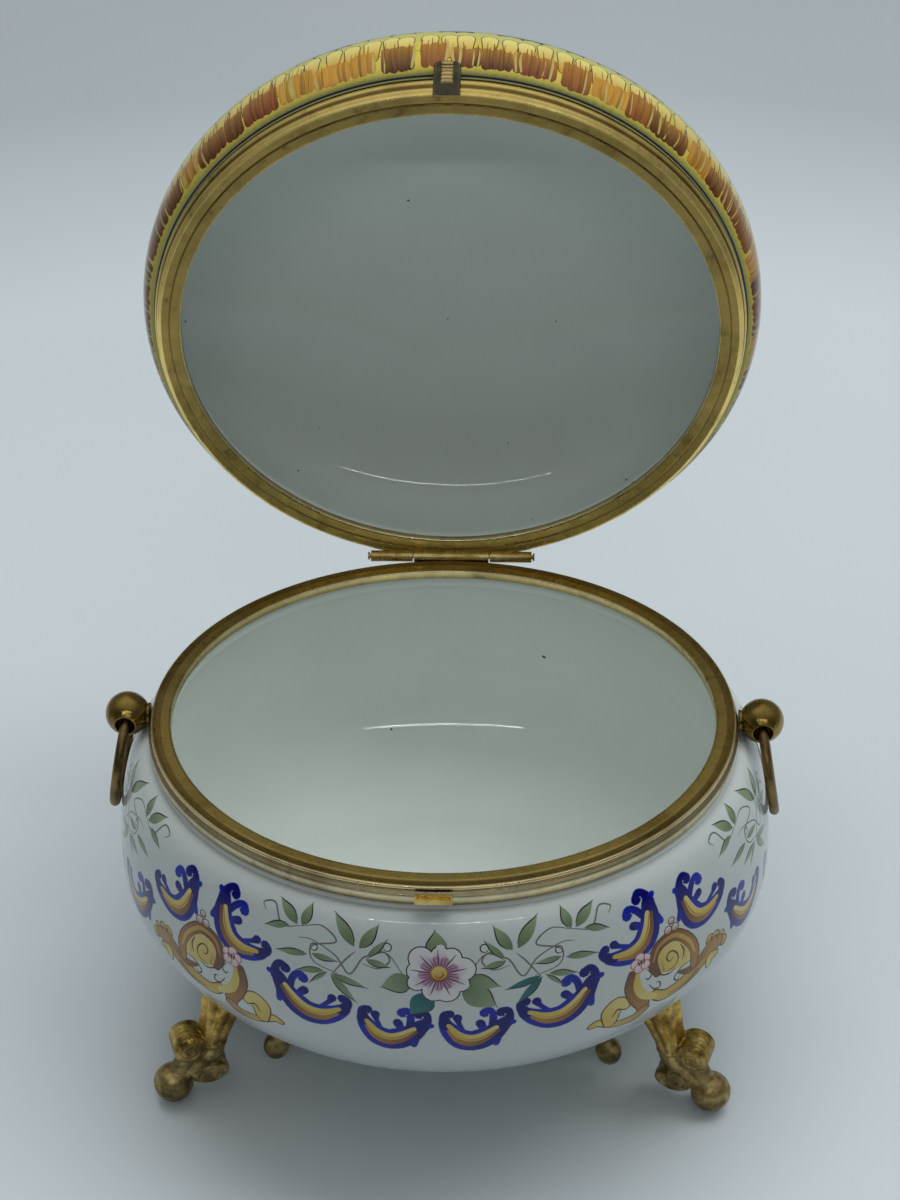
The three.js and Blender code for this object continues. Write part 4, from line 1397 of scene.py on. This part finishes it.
def build_clasp():
    """The dark snap plate with rounded top corners and a bright ridged grip."""
    path, along = clasp_path()
    share = np.linspace(0, 1, clasp_rows)
    corner = np.clip((share - 0.86) / 0.14, 0, 1)
    half = clasp_width / 2 * (1 - 0.28 * (1 - np.sqrt(1 - corner ** 2 * 0.98)))
    points, tones = [], []
    for row in zip(path, along, half, share):
        row_points, row_tones = clasp_row(*row)
        points += row_points
        tones += row_tones
    ring = 2 * clasp_columns
    faces = grid_faces(clasp_rows, ring, rows_close=False)
    bottom = [(k, ring - 1 - k, ring - 2 - k, k + 1) for k in range(clasp_columns - 1)]
    last = (clasp_rows - 1) * ring
    faces += bottom + [tuple(last + k for k in face[::-1]) for face in bottom]
    clasp = add_piece("snap_clasp", on_lid(points), faces, ring_gilt, "lid", ["clasp"])
    add_colours(clasp, "tone", "POINT", np.array(tones))


# Hardware kept from the solids, with softened edges
def dress(node, material, width=0.0):
    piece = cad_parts[node]
    piece.data.materials.clear()
    piece.data.materials.append(material)
    if width:
        edge = piece.modifiers.new("edge", "BEVEL")
        edge.width = width * MM
        edge.segments = 2
        edge.limit_method = "ANGLE"
        edge.angle_limit = 35 * DEGREE
        edge.harden_normals = False


# Stage
def build_floor():
    """A plain pale floor, with painted shade that darkens it a little away from the box."""
    floor_material, tree, shader = new_material("studio_floor")
    tone = ramp(tree, noise(tree, 3, 2), [(0.3, paint(198, 206, 211)), (0.7, paint(206, 213, 218))])
    place = tree.nodes.new("ShaderNodeTexCoord")
    reach = tree.nodes.new("ShaderNodeVectorMath")
    reach.operation = "LENGTH"
    tree.links.new(place.outputs["Object"], reach.inputs[0])
    # Painted shade: the floor colour falls off away from the box, as the light does.
    far = spread(tree, reach.outputs["Value"], 1.0, 0.7, 0.33, 0.5)
    tree.links.new(mix(tree, 1.0, tone, far, "MULTIPLY"), shader.inputs["Base Color"])
    set_inputs(shader, Roughness=0.6)
    bpy.ops.mesh.primitive_plane_add(size=6, location=(0, 0, -0.0002))
    floor = bpy.context.object
    floor.name = "floor"
    floor.data.materials.append(floor_material)


def build_sky():
    """Soft light from all round, bright overhead and dim from the front."""
    world = bpy.data.worlds.new("studio")
    world.use_nodes = True
    tree = world.node_tree
    place = tree.nodes.new("ShaderNodeTexCoord")
    split = tree.nodes.new("ShaderNodeSeparateXYZ")
    tree.links.new(place.outputs["Generated"], split.inputs["Vector"])
    sky = ramp(tree, split.outputs["Z"], [(0.0, (0.5, 0.53, 0.53)), (0.3, (0.42, 0.45, 0.45)),
                                          (0.6, (0.6, 0.63, 0.62)), (0.9, (1.6, 1.64, 1.64))])
    front = spread(tree, split.outputs["Y"], 0.24, 1.0, -0.9, 0.1)
    background = tree.nodes["Background"]
    tree.links.new(mix(tree, 1.0, sky, front, "MULTIPLY"), background.inputs["Color"])
    set_inputs(background, Strength=0.42)
    bpy.context.scene.world = world


def add_lamp(place, width, depth, power, seen):
    """A soft lamp aimed at the box; only one that is seen shows in the glaze."""
    light = bpy.data.lights.new("lamp", "AREA")
    light.shape = "RECTANGLE"
    light.size, light.size_y = width, depth
    light.energy = power
    light.color = (0.96, 1.0, 1.0)
    lamp = bpy.data.objects.new("lamp", light)
    lamp.location = place
    aim = Vector((0, 0, 0.08)) - Vector(place)
    lamp.rotation_euler = aim.to_track_quat("-Z", "Y").to_euler()
    lamp.visible_glossy = seen
    bpy.context.scene.collection.objects.link(lamp)


def build_stage():
    build_floor()
    build_sky()
    add_lamp((0.08, 0.45, 1.4), 1.2, 0.8, 11.6, False)
    add_lamp((0.85, 0.2, 1.1), 0.5, 0.5, 2.6, False)
    add_lamp((0.02, -0.92, 0.92), 1.05, 0.01, 1.4, True)
    bpy.context.scene.view_settings.view_transform = "Standard"


def build_camera():
    level = math.cos(camera_pitch)
    ahead = Vector((math.sin(camera_yaw) * level, math.cos(camera_yaw) * level, -math.sin(camera_pitch)))
    right = Vector((math.cos(camera_yaw), -math.sin(camera_yaw), 0))
    down = ahead.cross(right)
    rolled_right = math.cos(camera_roll) * right + math.sin(camera_roll) * down
    rolled_down = -math.sin(camera_roll) * right + math.cos(camera_roll) * down
    lens = bpy.data.cameras.new("camera")
    lens.sensor_width = 36
    lens.lens = camera_lens
    lens.clip_start = 0.01
    camera = bpy.data.objects.new("camera", lens)
    turned = Matrix((rolled_right, -rolled_down, -ahead)).transposed()
    place = (rim_centre + camera_place) * MM
    camera.matrix_world = Matrix.Translation(Vector(place)) @ turned.to_4x4()
    bpy.context.scene.collection.objects.link(camera)
    bpy.context.scene.camera = camera


build_bowl_outside()
build_bowl_inside()
build_bowl_underside()
build_lid_outside()
build_lid_inside()
build_bowl_ring()
build_lid_ring()
for side in (-1, 1):
    build_knob(side)
    build_drop_ring(side)
build_feet()
dress("catch", pale_gilt, 0.12)
build_clasp()
dress("hinge_pin", hinge_gilt)
for node in ("hinge_knuckle_middle", "hinge_knuckle_left", "hinge_knuckle_right"):
    dress(node, hinge_gilt, 0.1)
build_stage()
build_camera()
